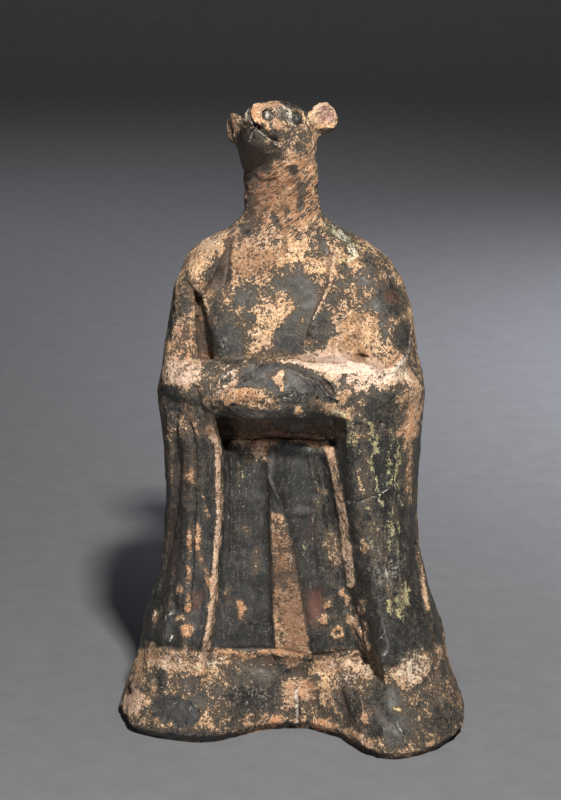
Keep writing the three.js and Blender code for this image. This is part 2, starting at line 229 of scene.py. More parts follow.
@dataclass(frozen=True)
class Trail(Mark):
    """A line through points of the photograph, with its half width in pixels."""

    path: Path
    half: float
    amount: float = 0.5
    soft: float = 0.5

    def distance(self, pixels: np.ndarray) -> tuple[np.ndarray, np.ndarray]:
        """Measures how far pixels are from the line.

        Args:
            pixels: Points of the photograph, one a row.

        Returns:
            The distance in pixels, and the side: 1 to the right of the line's run, -1 to its left.
        """
        nearest = np.full(len(pixels), np.inf)
        side = np.ones(len(pixels))
        for start, end in zip(self.path, self.path[1:]):
            run = np.subtract(end, start)
            away = pixels - start
            t = np.clip(away @ run / (run @ run), 0.0, 1.0)
            gap = np.hypot(*(away - t[:, None] * run).T)
            closer = gap < nearest
            nearest[closer] = gap[closer]
            turned = run[0] * away[:, 1] - run[1] * away[:, 0]
            side[closer] = np.where(turned[closer] >= 0.0, 1.0, -1.0)
        return nearest, side

    def share(self, pixels: np.ndarray) -> np.ndarray:
        """How much of the line lies at each pixel, from 0 to 1."""
        gap, _ = self.distance(pixels)
        return smooth((1.0 + self.soft - gap / self.half) / (2.0 * self.soft))


@dataclass(frozen=True)
class Panel(Trail):
    """The area within a closed line, whose half width is how far its rim fades."""

    def share(self, pixels: np.ndarray) -> np.ndarray:
        """Finds how much of the area lies at each pixel.

        Args:
            pixels: Points of the photograph, one a row.

        Returns:
            A share from 0 to 1 for each.
        """
        gap, _ = self.distance(pixels)
        inside = np.zeros(len(pixels), bool)
        x, y = pixels.T
        for (x0, y0), (x1, y1) in zip(self.path, self.path[1:]):
            crosses = (y0 > y) != (y1 > y)
            slope = (x1 - x0) / (y1 - y0) if y1 != y0 else 0.0
            inside ^= crosses & (x < x0 + (y - y0) * slope)
        return smooth(0.5 + 0.5 * np.where(inside, gap, -gap) / self.half)


@dataclass(frozen=True)
class Fold(Trail):
    """A ridge along a line, or a groove where its height is negative."""

    def share(self, pixels: np.ndarray) -> np.ndarray:
        """How much of the ridge stands at each pixel, from 0 to 1."""
        gap, _ = self.distance(pixels)
        return np.exp(-((gap / self.half) ** 2))


@dataclass(frozen=True)
class Edge(Trail):
    """The edge of a layer.

    The side to the right of the line's run stands proud, and dies away over the reach in pixels."""

    reach: float = 14.0

    def share(self, pixels: np.ndarray) -> np.ndarray:
        """Finds how much of the layer stands at each pixel.

        Args:
            pixels: Points of the photograph, one a row.

        Returns:
            A share from 0 to 1 for each.
        """
        gap, side = self.distance(pixels)
        over = side * gap
        ends = self._within(pixels)
        dying = np.exp(-np.clip(over, 0.0, None) / self.reach)
        return smooth(0.5 + 0.5 * over / self.half) * dying * ends

    def _within(self, pixels: np.ndarray) -> np.ndarray:
        """Fades the layer past the two ends of its line.

        Args:
            pixels: Points of the photograph, one a row.

        Returns:
            A share for each, 1 beside the line.
        """
        share = np.ones(len(pixels))
        for end, before in ((self.path[0], self.path[1]), (self.path[-1], self.path[-2])):
            run = np.subtract(end, before)
            past = (pixels - end) @ run / np.hypot(*run)
            share *= 1.0 - smooth(past / self.reach)
        return share


class Deposit(Enum):
    """What lies on the clay, and the shade painted along with its grime; the value names its attribute on
    the mesh.
    """

    SOIL = "soil"
    RUST = "rust"
    ROSE = "rose"
    OLIVE = "olive"
    CHALK = "chalk"
    BLUSH = "blush"
    # Dark grime, and painted shade in grooves, hollows, recesses and under overhangs.
    GRIME_AND_SHADE = "grime_and_shade"


class Working(Enum):
    """How the soil is worked over the clay; the value names its attribute on the mesh."""

    STREAK = "streak"
    RASP = "rasp"


class ClaySurface:
    """The figure's surface as arrays, one row a vertex, seen through the photograph's camera.

    What is hidden is found in square cells of the photograph, whose size is in pixels, as are the level gap
    and the bridge's fades; how far a point may lie behind and a step's height are millimetres."""

    cell = 3.0
    cells = 401
    edge_on = 0.07
    facing_fade = 0.2
    hidden_behind = 4.0
    step_height = 15.0
    level_gap = 4.0
    bank = 0.25
    bridge_flat = 0.8
    bridge_fade = 0.4
    bridge_top_fade = 24.0
    bridge_foot_fade = 12.0

    def __init__(self, mesh: bpy.types.Mesh, view: PhotoView) -> None:
        """Reads a mesh.

        Args:
            mesh: The figure's mesh, in metres.
            view: The camera of the photograph.
        """
        self.mesh = mesh
        self.view = view
        self.places = self._read(mesh.vertices, "co") / MM
        self.measure()

    def measure(self) -> None:
        """Finds the normals, the pixels and what the camera sees, from the places."""
        self.mesh.vertices.foreach_set("co", (self.places * MM).astype(np.float32).ravel())
        self.mesh.update()
        self.normals = self._read(self.mesh.vertex_normals, "vector")
        self.pixels, self.depth = self.view.project(self.places)
        self.facing = -(self.normals @ self.view.ahead)
        column, row = np.clip((self.pixels / self.cell).astype(int), 0, self.cells - 1).T
        nearest = np.full((self.cells, self.cells), np.inf)
        np.minimum.at(nearest, (row, column), self.depth)
        self.behind = self.depth - nearest[row, column]
        turned = smooth((self.facing - self.edge_on) / self.facing_fade)
        self.seen = turned * (self.behind < self.hidden_behind)

    def press(self, heights: np.ndarray) -> None:
        """Moves the surface out along its normals by heights in millimetres."""
        self.places += self.normals * heights[:, None]

    def carve(self, marks: list[Mark], depth: float) -> None:
        """Carves marks into the front.

        Args:
            marks: What is carved; a mark's amount times the depth is its height in millimetres.
            depth: How many times the marks' heights they are carved.
        """
        total = np.zeros(len(self.places))
        for mark in marks:
            total += mark.amount * mark.share(self.pixels)
        self.press(total * self.seen * depth)
        self.measure()

    def bridge(self, line: Trail) -> None:
        """Turns a step that runs down a line into a slope.

        Args:
            line: The step, as wide as the slope; it fades at its ends.
        """
        gap, side = line.distance(self.pixels)
        across = side * gap / line.half
        rows = self.pixels[:, 1]
        front = self.behind < self.step_height
        levels = np.arange(line.path[0][1], line.path[-1][1], self.level_gap)
        banks = []
        for bank in (-1.0, 1.0):
            beside = front & (np.abs(across - bank) < self.bank)
            bands = [beside & (np.abs(rows - level) < self.level_gap) for level in levels]
            banks.append(np.interp(rows, levels, [np.mean(self.depth[band]) for band in bands]))
        slope = banks[0] + (banks[1] - banks[0]) * smooth(0.5 + 0.5 * across)
        share = 1.0 - smooth((np.abs(across) - self.bridge_flat) / self.bridge_fade)
        begins = smooth((rows - levels[0]) / self.bridge_top_fade)
        share *= begins * smooth((levels[-1] - rows) / self.bridge_foot_fade) * front
        self.places += self.view.ahead * ((slope - self.depth) * share)[:, None]
        self.measure()

    def hollows(self, rounds: int) -> np.ndarray:
        """Finds how hollow the surface is.

        Args:
            rounds: How many rings of neighbours a point is compared with.

        Returns:
            For each vertex, how far it lies below its neighbours, in millimetres.
        """
        ends = np.empty(len(self.mesh.edges) * 2, np.int32)
        self.mesh.edges.foreach_get("vertices", ends)
        first, second = ends.reshape(-1, 2).T
        count = len(self.places)
        ties = np.bincount(first, minlength=count) + np.bincount(second, minlength=count)
        mean = self.places.copy()
        for _ in range(rounds):
            total = np.zeros_like(mean)
            for axis in range(3):
                total[:, axis] += np.bincount(first, mean[second, axis], len(mean))
                total[:, axis] += np.bincount(second, mean[first, axis], len(mean))
            mean = total / np.maximum(ties, 1)[:, None]
        return np.einsum("ij,ij->i", mean - self.places, self.normals)

    def store(self, name: str, values: np.ndarray) -> None:
        """Writes a value for each vertex as an attribute of the mesh."""
        attribute = self.mesh.attributes.new(name, "FLOAT", "POINT")
        attribute.data.foreach_set("value", values.astype(np.float32))

    @staticmethod
    def _read(rows: bpy.types.bpy_prop_collection, name: str) -> np.ndarray:
        """Reads a vector from each row of a collection.

        Args:
            rows: The collection.
            name: The vector's name in it.

        Returns:
            The vectors, one a row.
        """
        values = np.empty(len(rows) * 3, np.float32)
        rows.foreach_get(name, values)
        return values.reshape(-1, 3).astype(float)


@dataclass
class Region:
    """A part of the figure, between two rows of the photograph.

    Its soil value is how much of the clay the soil covers where no mark says otherwise. Its depth is how
    many times its marks' heights it is carved, drawn is how many times its soil is streaked along the
    height, wander is how far the outlines of its spots stray, and cling is how many times its soil is
    laid on. Rows and fades are in pixels."""

    top: float
    foot: float
    soil: float
    fade: float = 8.0
    depth: float = 1.7
    drawn: float = 1.0
    wander: float = 1.0
    cling: float = 1.0

    def weight(self, rows: np.ndarray) -> np.ndarray:
        """How far each row of the photograph belongs to the region, from 0 to 1."""
        return smooth((rows - self.top) / self.fade + 0.5) * smooth((self.foot - rows) / self.fade + 0.5)

    def carving(self) -> list[Mark]:
        """The region's relief, with heights in millimetres."""
        return []

    def slopes(self) -> list[Trail]:
        """Lines along which a step of the solid is eased into a slope."""
        return []

    def deposits(self) -> dict[Deposit, list[Mark]]:
        """What clings to the region, with amounts that add to or take from its cover."""
        return {}


@dataclass
class Head(Region):
    """Raised animal head, turned to the left, and its long neck."""

    top: float = 90.0
    foot: float = 236.0
    soil: float = 0.66
    depth: float = 1.1
    wander: float = 0.3
    mouth_depth: float = 1.4
    lip_height: float = 0.5
    eye_height: float = 1.0
    nostril_depth: float = 1.0
    mouth: Path = ((256.5, 125.5), (261, 129), (266, 133.6), (271, 137.6), (277, 141.6))
    lower_lip: Path = ((259, 131), (265, 136.2), (271, 140.8), (281.5, 148))
    far_lip: Path = ((256.5, 128), (252.3, 132), (249.6, 137), (248.6, 141))
    nostril: Path = ((262.4, 117.5), (263, 112.2), (266.8, 109.4), (270.4, 111.6), (271.6, 117))
    snout_side: Path = ((251.5, 104), (248.8, 111), (249.8, 118), (253.6, 123.6), (257.5, 126.6))
    ear_fold: Path = ((248, 107.5), (246.4, 113), (245.6, 121))
    lid: Path = ((287.5, 114), (290, 110.6), (295, 108.8), (300.5, 110), (304, 114))

    def carving(self) -> list[Mark]:
        """Mouth, lips, eyes, nostril and ears.

        Returns:
            Marks, with their heights in millimetres.
        """
        return [
            Fold(self.mouth, 1.4, -self.mouth_depth),
            Fold(((257.5, 127), (262.5, 131), (267.5, 135)), 2.3, -1.6),
            Fold(self.lower_lip, 1.1, self.lip_height),
            Fold(((262, 124), (272, 131), (281, 139)), 2, 0.45),
            Fold(self.far_lip, 1, self.lip_height),
            Fold(tuple((x - 2.4, y + 0.6) for x, y in self.far_lip), 1.2, -0.5),
            Fold(self.nostril, 0.9, -self.nostril_depth),
            Patch(267, 115, 2.2, 3.4, 0.5, soft=0.6),
            Fold(self.snout_side, 1.3, -0.9),
            Patch(297.4, 117.6, 4.2, 5.6, self.eye_height, -20, soft=0.5),
            Rim(297.4, 117.6, 5.4, 6.9, -1, -20, soft=0.2),
            Fold(self.lid, 1.2, 0.7),
            Fold(((290.8, 113), (290.2, 119), (292.6, 124.6), (297, 127.4)), 1.3, 0.6),
            Patch(285, 117, 4.6, 6, -0.6, 20, soft=0.6),
            Fold(((247.6, 108), (245, 114), (244, 120), (246, 125)), 1.1, -1.1),
            Fold(self.ear_fold, 1, 0.8),
            Fold(((241, 111), (240, 117), (241.5, 124)), 1.4, 0.6),
            Patch(325.5, 115.5, 9, 8.5, -0.9, soft=0.4),
            Rim(324.8, 116.5, 12.4, 12.4, 0.55, soft=0.18),
            Patch(320, 110.5, 3, 2.4, 0.5, 20, soft=0.6),
            Patch(329, 118, 3.6, 3, -0.4, soft=0.6),
            Fold(((311, 104), (311.5, 116), (317, 128)), 2, -0.6),
            Fold(((273, 111), (279, 119), (288, 127)), 2.4, -0.4),
        ]

    def deposits(self) -> dict[Deposit, list[Mark]]:
        """Orange soil on the nose, a pink ear, a bare dark crown and eye, a dark throat painted as shade
        under the jaw, and painted shade in the folds of the face.

        Returns:
            The marks of each deposit, with amounts that add to or take from its cover.
        """
        nose = (
            (251, 103.5), (258, 102.5), (264, 103.5), (262, 110), (261.5, 117), (264, 122), (258, 124),
            (252, 120), (249.6, 113), (251, 103.5),
        )
        crown = (
            (281, 103), (284, 99), (296, 99), (304, 103), (309, 112), (306.5, 118), (303, 111),
            (296, 107.5), (288, 107), (281, 103),
        )
        throat = (
            (243, 127), (255, 130), (262, 139), (266, 146), (263, 152), (272, 160), (268, 167), (258, 173),
            (250, 182), (246, 194), (236, 170), (235, 140), (243, 127),
        )
        return {
            Deposit.SOIL: [
                Panel(nose, 1.6, 0.6),
                Patch(270, 104.5, 9, 3.6, 0.5),
                Patch(276, 125, 4.6, 5, 0.6, 40),
                Patch(322, 113, 16, 14, 0.5),
                Patch(308, 150, 9, 34, 0.12),
                Patch(304, 186, 6, 10, -0.3),
                Patch(286, 198, 34, 36, 0.36),
                Patch(235, 126, 7, 14, -0.22),
                Patch(291, 157, 9, 8, 0.25),
                Panel(crown, 1.4, -1.6),
                # Painted shade: the nostril's groove left bare.
                Trail(self.nostril, 1.1, -0.9),
                Patch(297.4, 117.6, 4.6, 6, -1.9, -20, 0.2),
                Patch(285, 116, 6, 7, -0.15),
                Patch(270, 118, 4, 8, -0.2),
                # Painted shade on the cheek above the mouth.
                Patch(285, 134, 7, 4, -0.35, 40),
                Patch(276, 134, 6, 4, -0.5, 40),
                # Painted shade: the mouth and the snout's side groove left bare.
                Trail(self.mouth, 2, -1.2),
                Trail(self.snout_side, 1.6, -1.2),
                # Painted shade under the jaw: the throat and chin left bare.
                Panel(throat, 2.6, -0.6),
                Patch(276, 152, 11, 6, -0.45, 20),
                Patch(255, 142, 5, 9, -0.5),
                Patch(299.8, 150, 4, 8, -0.4),
                Patch(310, 131, 3, 6, -0.4),
                Patch(293.7, 171, 4.4, 4.6, -1.3),
                Patch(300.6, 202.5, 3, 7, -1.2, 8),
                Patch(298, 184, 5, 9, -0.5, -20),
                Patch(275.3, 220, 3.2, 8, -0.8, -28),
                Patch(287.5, 213, 2.6, 4.4, -0.6, 10),
                Patch(248.5, 232, 5, 3, -0.8),
                Patch(334, 232, 10, 7, -0.35, 40),
                # Painted shade on the neck's left side.
                Patch(251, 205, 8, 26, -0.3),
                # Painted shadow under the right ear's rim.
                Patch(327, 131.5, 9, 3.4, -0.9),
            ],
            Deposit.RUST: [
                Panel(nose, 2, 0.8),
                Patch(276, 125, 5, 6, 0.7, 40),
                Patch(235, 127, 8, 14, 1),
                Patch(285, 190, 34, 40, 0.85),
                Patch(272, 152, 9, 5, 0.5),
            ],
            Deposit.ROSE: [
                Patch(322, 112, 13, 11, 0.4),
                Patch(284, 113, 9, 7, 0.7),
                Patch(240, 117, 6, 10, 0.3),
            ],
            Deposit.CHALK: [
                Trail(self.lower_lip, 1.2, 0.7, 0.8),
                Trail(self.far_lip, 1, 0.4, 0.8),
                Patch(266.2, 115.6, 2.6, 3.2, 1.1),
                Trail(self.ear_fold, 0.9, 0.8),
                Trail(((290.6, 113), (290, 119), (292.4, 124.6), (297, 127.4)), 1.8, 0.5, 0.9),
                Patch(284, 112, 8, 7, 0.55),
                Patch(274, 109, 5, 4, 0.25),
                Trail(self.lid, 0.8, 0.3),
                # Painted highlight on the polished crown.
                Patch(292, 101.5, 6, 1.4, 0.3),
                Patch(318, 108, 6, 4, 0.4),
            ],
            Deposit.OLIVE: [Patch(331, 229, 8, 5, 0.5, 35)],
            # Brown grime on the neck and left ear, and painted shade under the jaw, on the cheek, in the
            # mouth, nostril, snout and ear grooves, round the eye, on the neck's left side and under the
            # right ear's rim.
            Deposit.GRIME_AND_SHADE: [
                Panel(throat, 5, 0.75),
                Patch(276, 152, 11, 6, 0.4, 20),
                Patch(290, 132, 9, 6, 0.5, 40),
                Patch(235, 126, 8, 15, 0.55),
                Trail(((257.5, 126.8), (261, 129.6), (265.5, 134), (271, 138.6)), 1.5, 2),
                Trail(self.mouth, 1.4, 1),
                Trail(self.snout_side, 1.5, 1),
                Trail(self.nostril, 1, 0.8),
                Trail(((245, 112), (243.6, 118), (245.5, 125)), 1.2, 1),
                Rim(297.4, 117.6, 5, 6.5, 0.6, -20, soft=0.2),
                Patch(226, 223, 13, 7, 0.12),
                Patch(254, 198, 14, 34, 0.75),
                Patch(286, 194, 26, 32, 0.75),
                Patch(327, 132, 9, 3.6, 1),
                Patch(312, 122, 2.4, 8, 0.5),
            ],
            Deposit.BLUSH: [
                Patch(331, 116, 4.4, 6, 1.7),
                Patch(322, 120, 3.2, 3.6, 1.4),
                Patch(325, 109, 3.4, 2.4, 1.2),
            ],
        }


@dataclass
class Chest(Region):
    """Chest, shoulders and upper arms, with the crossed collar."""

    top: float = 236.0
    foot: float = 362.0
    soil: float = 0.68
    collar_height: float = 1.0
    groove_depth: float = 1.3
    scratch: Path = ((250.8, 290), (246.5, 299), (242.5, 307))

    def carving(self) -> list[Mark]:
        """Collar edge, shoulder grooves, the pouch over the right forearm and small marks.

        Returns:
            Marks, with their heights in millimetres.
        """
        collar = ((335.5, 248), (332, 266), (329.6, 282), (323.8, 295), (317.4, 309), (308, 330))
        pouch = ((408, 340), (402, 356), (392, 367), (380, 370), (370, 364), (352, 360))
        return [
            Edge(collar[::-1], 1.6, self.collar_height, reach=16.0),
            Fold(((333.5, 250), (330.5, 268), (328, 282)), 1.8, 0.35),
            Fold(((286.8, 228), (286.2, 240), (284.6, 253)), 1.3, -0.5),
            Fold(((228, 240), (227, 255), (225, 270), (222, 284)), 4, -self.groove_depth),
            Patch(205, 258, 14, 20, 0.5, 12, soft=0.8),
            Fold(((188, 283), (194, 290), (199.5, 300)), 1.8, -1.2),
            Fold(((199, 300), (201, 325), (202.5, 345), (203.6, 357)), 3, -1.2),
            Fold(pouch, 2.2, -0.5),
            Patch(361.5, 355.5, 7.5, 2.2, -1.1, 6, soft=0.5),
            Patch(384, 350, 14, 12, 0.6, soft=0.8),
            Rim(223, 343, 2.6, 4, 0.3, soft=0.4),
            Fold(self.scratch, 0.9, -0.2),
            Patch(392, 276, 5, 4, 0.4, soft=0.6),
            Patch(215, 254.6, 1.6, 1.6, -0.8, soft=0.6),
            Fold(((305, 345), (309, 337), (314, 328)), 1.6, -0.4),
            Fold(((398, 262), (406, 284), (409, 308)), 2.5, 0.3),
        ]

    def deposits(self) -> dict[Deposit, list[Mark]]:
        """A coat of tan soil with dark bare islands, cream and lime by the collar, and shade painted beside
        the collar's edge and in the grooves.

        Returns:
            The marks of each deposit, with amounts that add to or take from its cover.
        """
        collar = ((336.5, 249), (333, 264), (330.4, 282), (325, 295), (318.6, 309), (314, 318))
        return {
            Deposit.SOIL: [
                Patch(262, 262, 26, 20, 0.3),
                Patch(204, 262, 12, 18, 0.35),
                Patch(350, 340, 30, 26, 0.5),
                Patch(330, 262, 9, 24, 0.3),
                Patch(355, 300, 16, 16, 0.15),
                Patch(262, 330, 14, 12, 0.25, -30),
                Patch(282, 312, 12, 5, 0.2, -30),
                Patch(217.5, 271, 12, 14, -0.75),
                Patch(226.8, 256, 4, 11, -0.5),
                Patch(244, 298, 11, 13, -0.5),
                Patch(287, 277, 17, 11, -0.8, -20),
                Patch(303, 296, 14, 19, -1),
                Patch(290, 337, 13, 19, -1.1, 10),
                Patch(322, 328, 15, 16, -1),
                Patch(224, 338, 21, 18, -0.75),
                Patch(216, 309, 12, 11, -0.5),
                Patch(250, 320, 7, 8, -0.45),
                Patch(372, 265, 14, 13, -0.65),
                Patch(392, 300, 14, 16, -0.75),
                Patch(375, 301, 6, 12, -0.5),
                Patch(384, 323, 5, 15, -0.6),
                Patch(403, 334, 9, 12, -0.7),
                Patch(342, 270, 5, 5, -0.6),
                Patch(359, 281, 8, 5, -0.55),
                Patch(346, 238, 9, 5, -0.6, 30),
                Patch(321, 244, 3.5, 13, -0.5),
                Patch(169, 323, 4, 24, -0.8, 6),
                Patch(184, 306, 8, 15, -0.35),
                Patch(238, 350, 6, 8, -0.5),
                Patch(300, 352, 18, 6, -0.5),
                Patch(264, 345, 6, 8, 0.3),
                Trail(collar, 1.3, 0.6, 0.7),
            ],
            Deposit.RUST: [
                Patch(186, 340, 10, 24, 0.7),
                Patch(396, 354, 14, 14, 0.5, -35),
                Patch(335, 300, 10, 18, 0.35),
                Patch(262, 264, 26, 16, 0.25),
                Patch(312, 344, 8, 5, 0.4),
            ],
            Deposit.ROSE: [
                Patch(205, 240, 14, 10, 0.4),
                Patch(325, 350, 14, 8, 0.35),
                Patch(252, 238, 20, 10, 0.2),
            ],
            Deposit.OLIVE: [
                Patch(352, 250, 9, 11, 0.85),
                Patch(340, 231, 11, 5, 0.55, 30),
                Patch(340, 262, 4, 5, 0.4),
                Patch(370, 246, 6, 4, 0.25),
            ],
            Deposit.CHALK: [
                Trail(((335.8, 249), (332.4, 264), (329.8, 281)), 1, 0.6, 0.8),
                Trail(((329.4, 283), (324.4, 294.5), (318, 309), (312, 321)), 0.9, 0.55, 0.8),
                Trail(self.scratch, 0.7, 0.5),
                Patch(352, 251, 8, 10, 0.7),
                Patch(392, 277, 4, 3.4, 0.55),
                Rim(223, 343, 2.6, 4, 0.45, soft=0.35),
                Trail(((411, 338), (408.5, 352), (401, 364), (392, 371)), 1.5, 0.6),
                Trail(((407, 290), (409.5, 306), (411, 322)), 1, 0.3),
                Patch(341, 232, 12, 5, 0.6, 30),
                Patch(366, 300, 3, 12, 0.2),
            ],
            # Painted shade in the left shoulder's groove, in the dent over the right forearm, beside the
            # collar's edge and in small grooves, with dark grime on some bare islands.
            Deposit.GRIME_AND_SHADE: [
                Trail(((188, 283), (194.4, 291), (199, 309), (200.9, 331), (203.6, 358)), 4, 1),
                Patch(361.5, 355.5, 7, 2, 0.9, 6),
                Trail(((332.6, 252), (329.6, 265), (326.8, 282), (321, 296), (314.4, 310)), 1.4, 0.8),
                Patch(218, 272, 12, 14, 0.3),
                Patch(184, 325, 9, 22, 0.3),
                Patch(227, 256, 4, 11, 0.5),
                Patch(250, 258, 30, 22, 0.65),
                Patch(393, 300, 12, 14, 0.25),
                Patch(286, 241, 1.6, 9, 0.6),
                Patch(321, 244, 4, 13, 0.35),
            ],
            Deposit.BLUSH: [Patch(186, 335, 9, 20, 0.4), Patch(392, 297, 10, 8, 0.4)],
        }


@dataclass
class Forearms(Region):
    """Forearms laid across the front, the hands folded in their cuffs."""

    top: float = 362.0
    foot: float = 438.0
    soil: float = 0.48
    cuff_height: float = 0.7
    leaf_depth: float = 0.8
    arch: Path = (
        (234, 388), (243, 373), (258, 365), (284, 360.5), (303, 364), (320, 374), (334, 389), (338, 401),
        (328, 401), (315, 393), (300, 399), (283, 398), (263, 386), (247, 387), (234, 388),
    )

    def carving(self) -> list[Mark]:
        """Folds of the cuffs, the leaf-shaped fold and the lower roll of the hands.

        Returns:
            Marks, with their heights in millimetres.
        """
        return [
            Fold(((206, 402), (206.5, 388), (213, 377), (226, 369)), 3, -0.9),
            Fold(((214, 404), (215, 392), (222, 381), (236, 371), (252, 365)), 2.6, 0.6),
            Fold(((222, 404), (226, 393), (234, 384), (246, 377)), 1.6, -0.5),
            Fold(((205, 404), (215, 413), (235, 416), (262, 417)), 2.6, 0.5),
            Fold(((228, 411), (238, 402), (256, 401), (268, 408)), 2, -0.35),
            Patch(246, 396, 15, 8.5, 0.7, soft=0.6),
            Patch(279.5, 380, 6.5, 11, 0.12, -8, soft=0.6),
            Fold(((307, 377.7), (318.3, 383.6), (327.5, 394.4), (337.5, 398.4)), 1.4, self.cuff_height),
            Fold(((321, 375.5), (332, 384), (337.5, 397.5)), 1.4, 0.55),
            Patch(329, 388, 8.5, 3.4, -self.leaf_depth, 50, soft=0.6),
            Fold(((287, 369), (301, 375), (312, 386), (318, 399), (312, 411)), 2.2, 0.45),
            Fold(((276, 395), (290, 390), (304, 394)), 2.6, 0.4),
            Patch(317.4, 398.5, 1.6, 1.4, -1, soft=0.6),
            Patch(299.8, 414.7, 4.5, 3.6, 0.45, soft=0.6),
            Fold(((338, 412), (352, 420), (368, 424)), 2.2, 0.35),
            Patch(402, 387, 5, 6, -0.6, soft=0.6),
            Fold(((196, 388), (199, 402), (203, 414)), 2.2, -0.5),
            Fold(((272, 407), (286, 403), (302, 406)), 1.6, -0.3),
        ]

    def deposits(self) -> dict[Deposit, list[Mark]]:
        """A pale pink band on the top of the arms over dark, polished folds, with shade painted under the
        lower roll.

        Returns:
            The marks of each deposit, with amounts that add to or take from its cover.
        """
        return {
            Deposit.SOIL: [
                Patch(185, 373, 22, 13, 0.45),
                Patch(224, 379, 17, 11, 0.35, -35),
                Patch(330, 362, 50, 9, 0.5, 5),
                Patch(360, 377, 36, 15, 0.6, 10),
                Patch(398, 372, 10, 16, 0.45),
                Patch(322, 369, 18, 8, 0.4, 30),
                Patch(246, 395, 17, 8, 0.6),
                Patch(276.5, 373, 7, 4.5, 1.2, 10),
                Patch(281.5, 383, 4.6, 9, 1.5, -10),
                Patch(299.8, 414, 4.5, 4, 1.2),
                Patch(274, 401, 6, 5, 0.4),
                Patch(327, 405.5, 9, 3.5, 0.55),
                Patch(337, 414.5, 12, 3.6, 0.7, 5),
                Patch(345, 397, 8, 5, 0.5),
                Patch(409, 405, 11, 27, 0.4),
                Patch(184, 397, 6, 8, 0.35),
                Patch(226, 401, 12, 6, 0.15),
                Patch(362, 414, 6, 3, 0.4),
                Panel(self.arch, 2.8, -0.7),
                Patch(270, 408, 44, 8, -0.25),
                Patch(231, 378, 12, 2.2, -0.7, -38),
                Patch(219, 378, 12, 1.8, -0.6, -52),
                Patch(329, 388, 8, 3.4, -0.9, 50),
                Patch(202, 391, 7, 16, -0.8, 10),
                Patch(176, 398, 14, 12, -0.6),
                Patch(376, 405, 26, 11, -0.35, 5),
                Patch(372, 421, 26, 10, -0.4),
                Patch(402, 388, 5, 6, -0.6),
                Patch(292, 402, 16, 7, -0.5),
                # The cuffs' lower roll left bare: painted shade above the recess.
                Trail(((208, 415), (240, 414), (280, 415.5), (318, 417.5), (334, 421)), 4.6, -0.9),
                Patch(205, 422, 9, 14, -0.45),
                Patch(344, 380, 4.5, 4, -0.9),
                Patch(356, 386, 5, 3, -0.4, 20),
                Patch(374, 390, 7, 4, -0.5),
            ],
            Deposit.RUST: [
                Patch(246, 396, 16, 8, 1.3),
                Patch(299.8, 414.7, 5, 4, 0.6),
                Patch(407, 420, 9, 20, 0.5),
                Patch(343, 431, 8, 5, 0.4),
            ],
            Deposit.ROSE: [
                Patch(184, 373, 20, 12, 0.8),
                Patch(335, 364, 50, 9, 0.9, 6),
                Patch(360, 378, 36, 15, 0.9, 10),
                Patch(224, 378, 18, 11, 0.6, -35),
                Patch(279.5, 380, 6, 11, 0.3),
            ],
            Deposit.OLIVE: [
                Patch(337, 413.5, 11, 4.4, 1, 5),
                Patch(330, 378, 7, 3, 0.4, 30),
                Patch(352, 426, 5, 6, 0.5),
            ],
            Deposit.CHALK: [
                Trail(((307, 377.7), (318.3, 383.3), (327.5, 394.4), (337, 398.2)), 1, 0.4, 0.8),
                Trail(((324, 376), (333, 385), (337, 397)), 0.9, 0.45, 0.8),
                Trail(((209, 396), (214, 383), (230, 371)), 1.8, 0.5, 0.8),
                Trail(((217, 395), (223, 384), (238, 373)), 1.8, 0.5, 0.8),
                Trail(((222, 376), (238, 368), (256, 364)), 1.2, 0.4),
                Trail(((292, 362), (312, 361), (330, 366), (350, 372)), 1.6, 0.4),
                Patch(389, 378, 9, 8, 0.55),
                Patch(403, 372, 7, 12, 0.5),
                Patch(350, 368, 40, 9, 0.3, 6),
                # Painted highlight on the polished arch.
                Patch(300, 398, 22, 6, 0.22),
                Patch(336, 413, 9, 4, 0.55),
                Patch(299.8, 414.7, 4.2, 3.6, 0.25),
            ],
            # Painted shade under the cuffs' lower roll, in the corner by the left sleeve, in the leaf fold
            # and a small hole, with dark grime on the orange patch and the arch.
            Deposit.GRIME_AND_SHADE: [
                Trail(((211, 425), (240, 428), (290, 429), (333, 431)), 9, 0.9),
                Trail(((207, 410), (213, 422)), 4, 0.7),
                Patch(203, 391, 6, 14, 0.5, 10),
                Patch(317.4, 398.5, 1.8, 1.6, 0.9),
                Patch(345, 381, 3.4, 3, 0.7),
                Patch(240, 414, 28, 4, 0.35),
                Patch(246, 396, 18, 9, 0.55),
                Patch(290, 410, 40, 8, 0.3),
                Patch(329, 388, 7, 2.6, 0.5, 50),
            ],
            Deposit.BLUSH: [Patch(268, 424, 50, 5, 0.25)],
        }


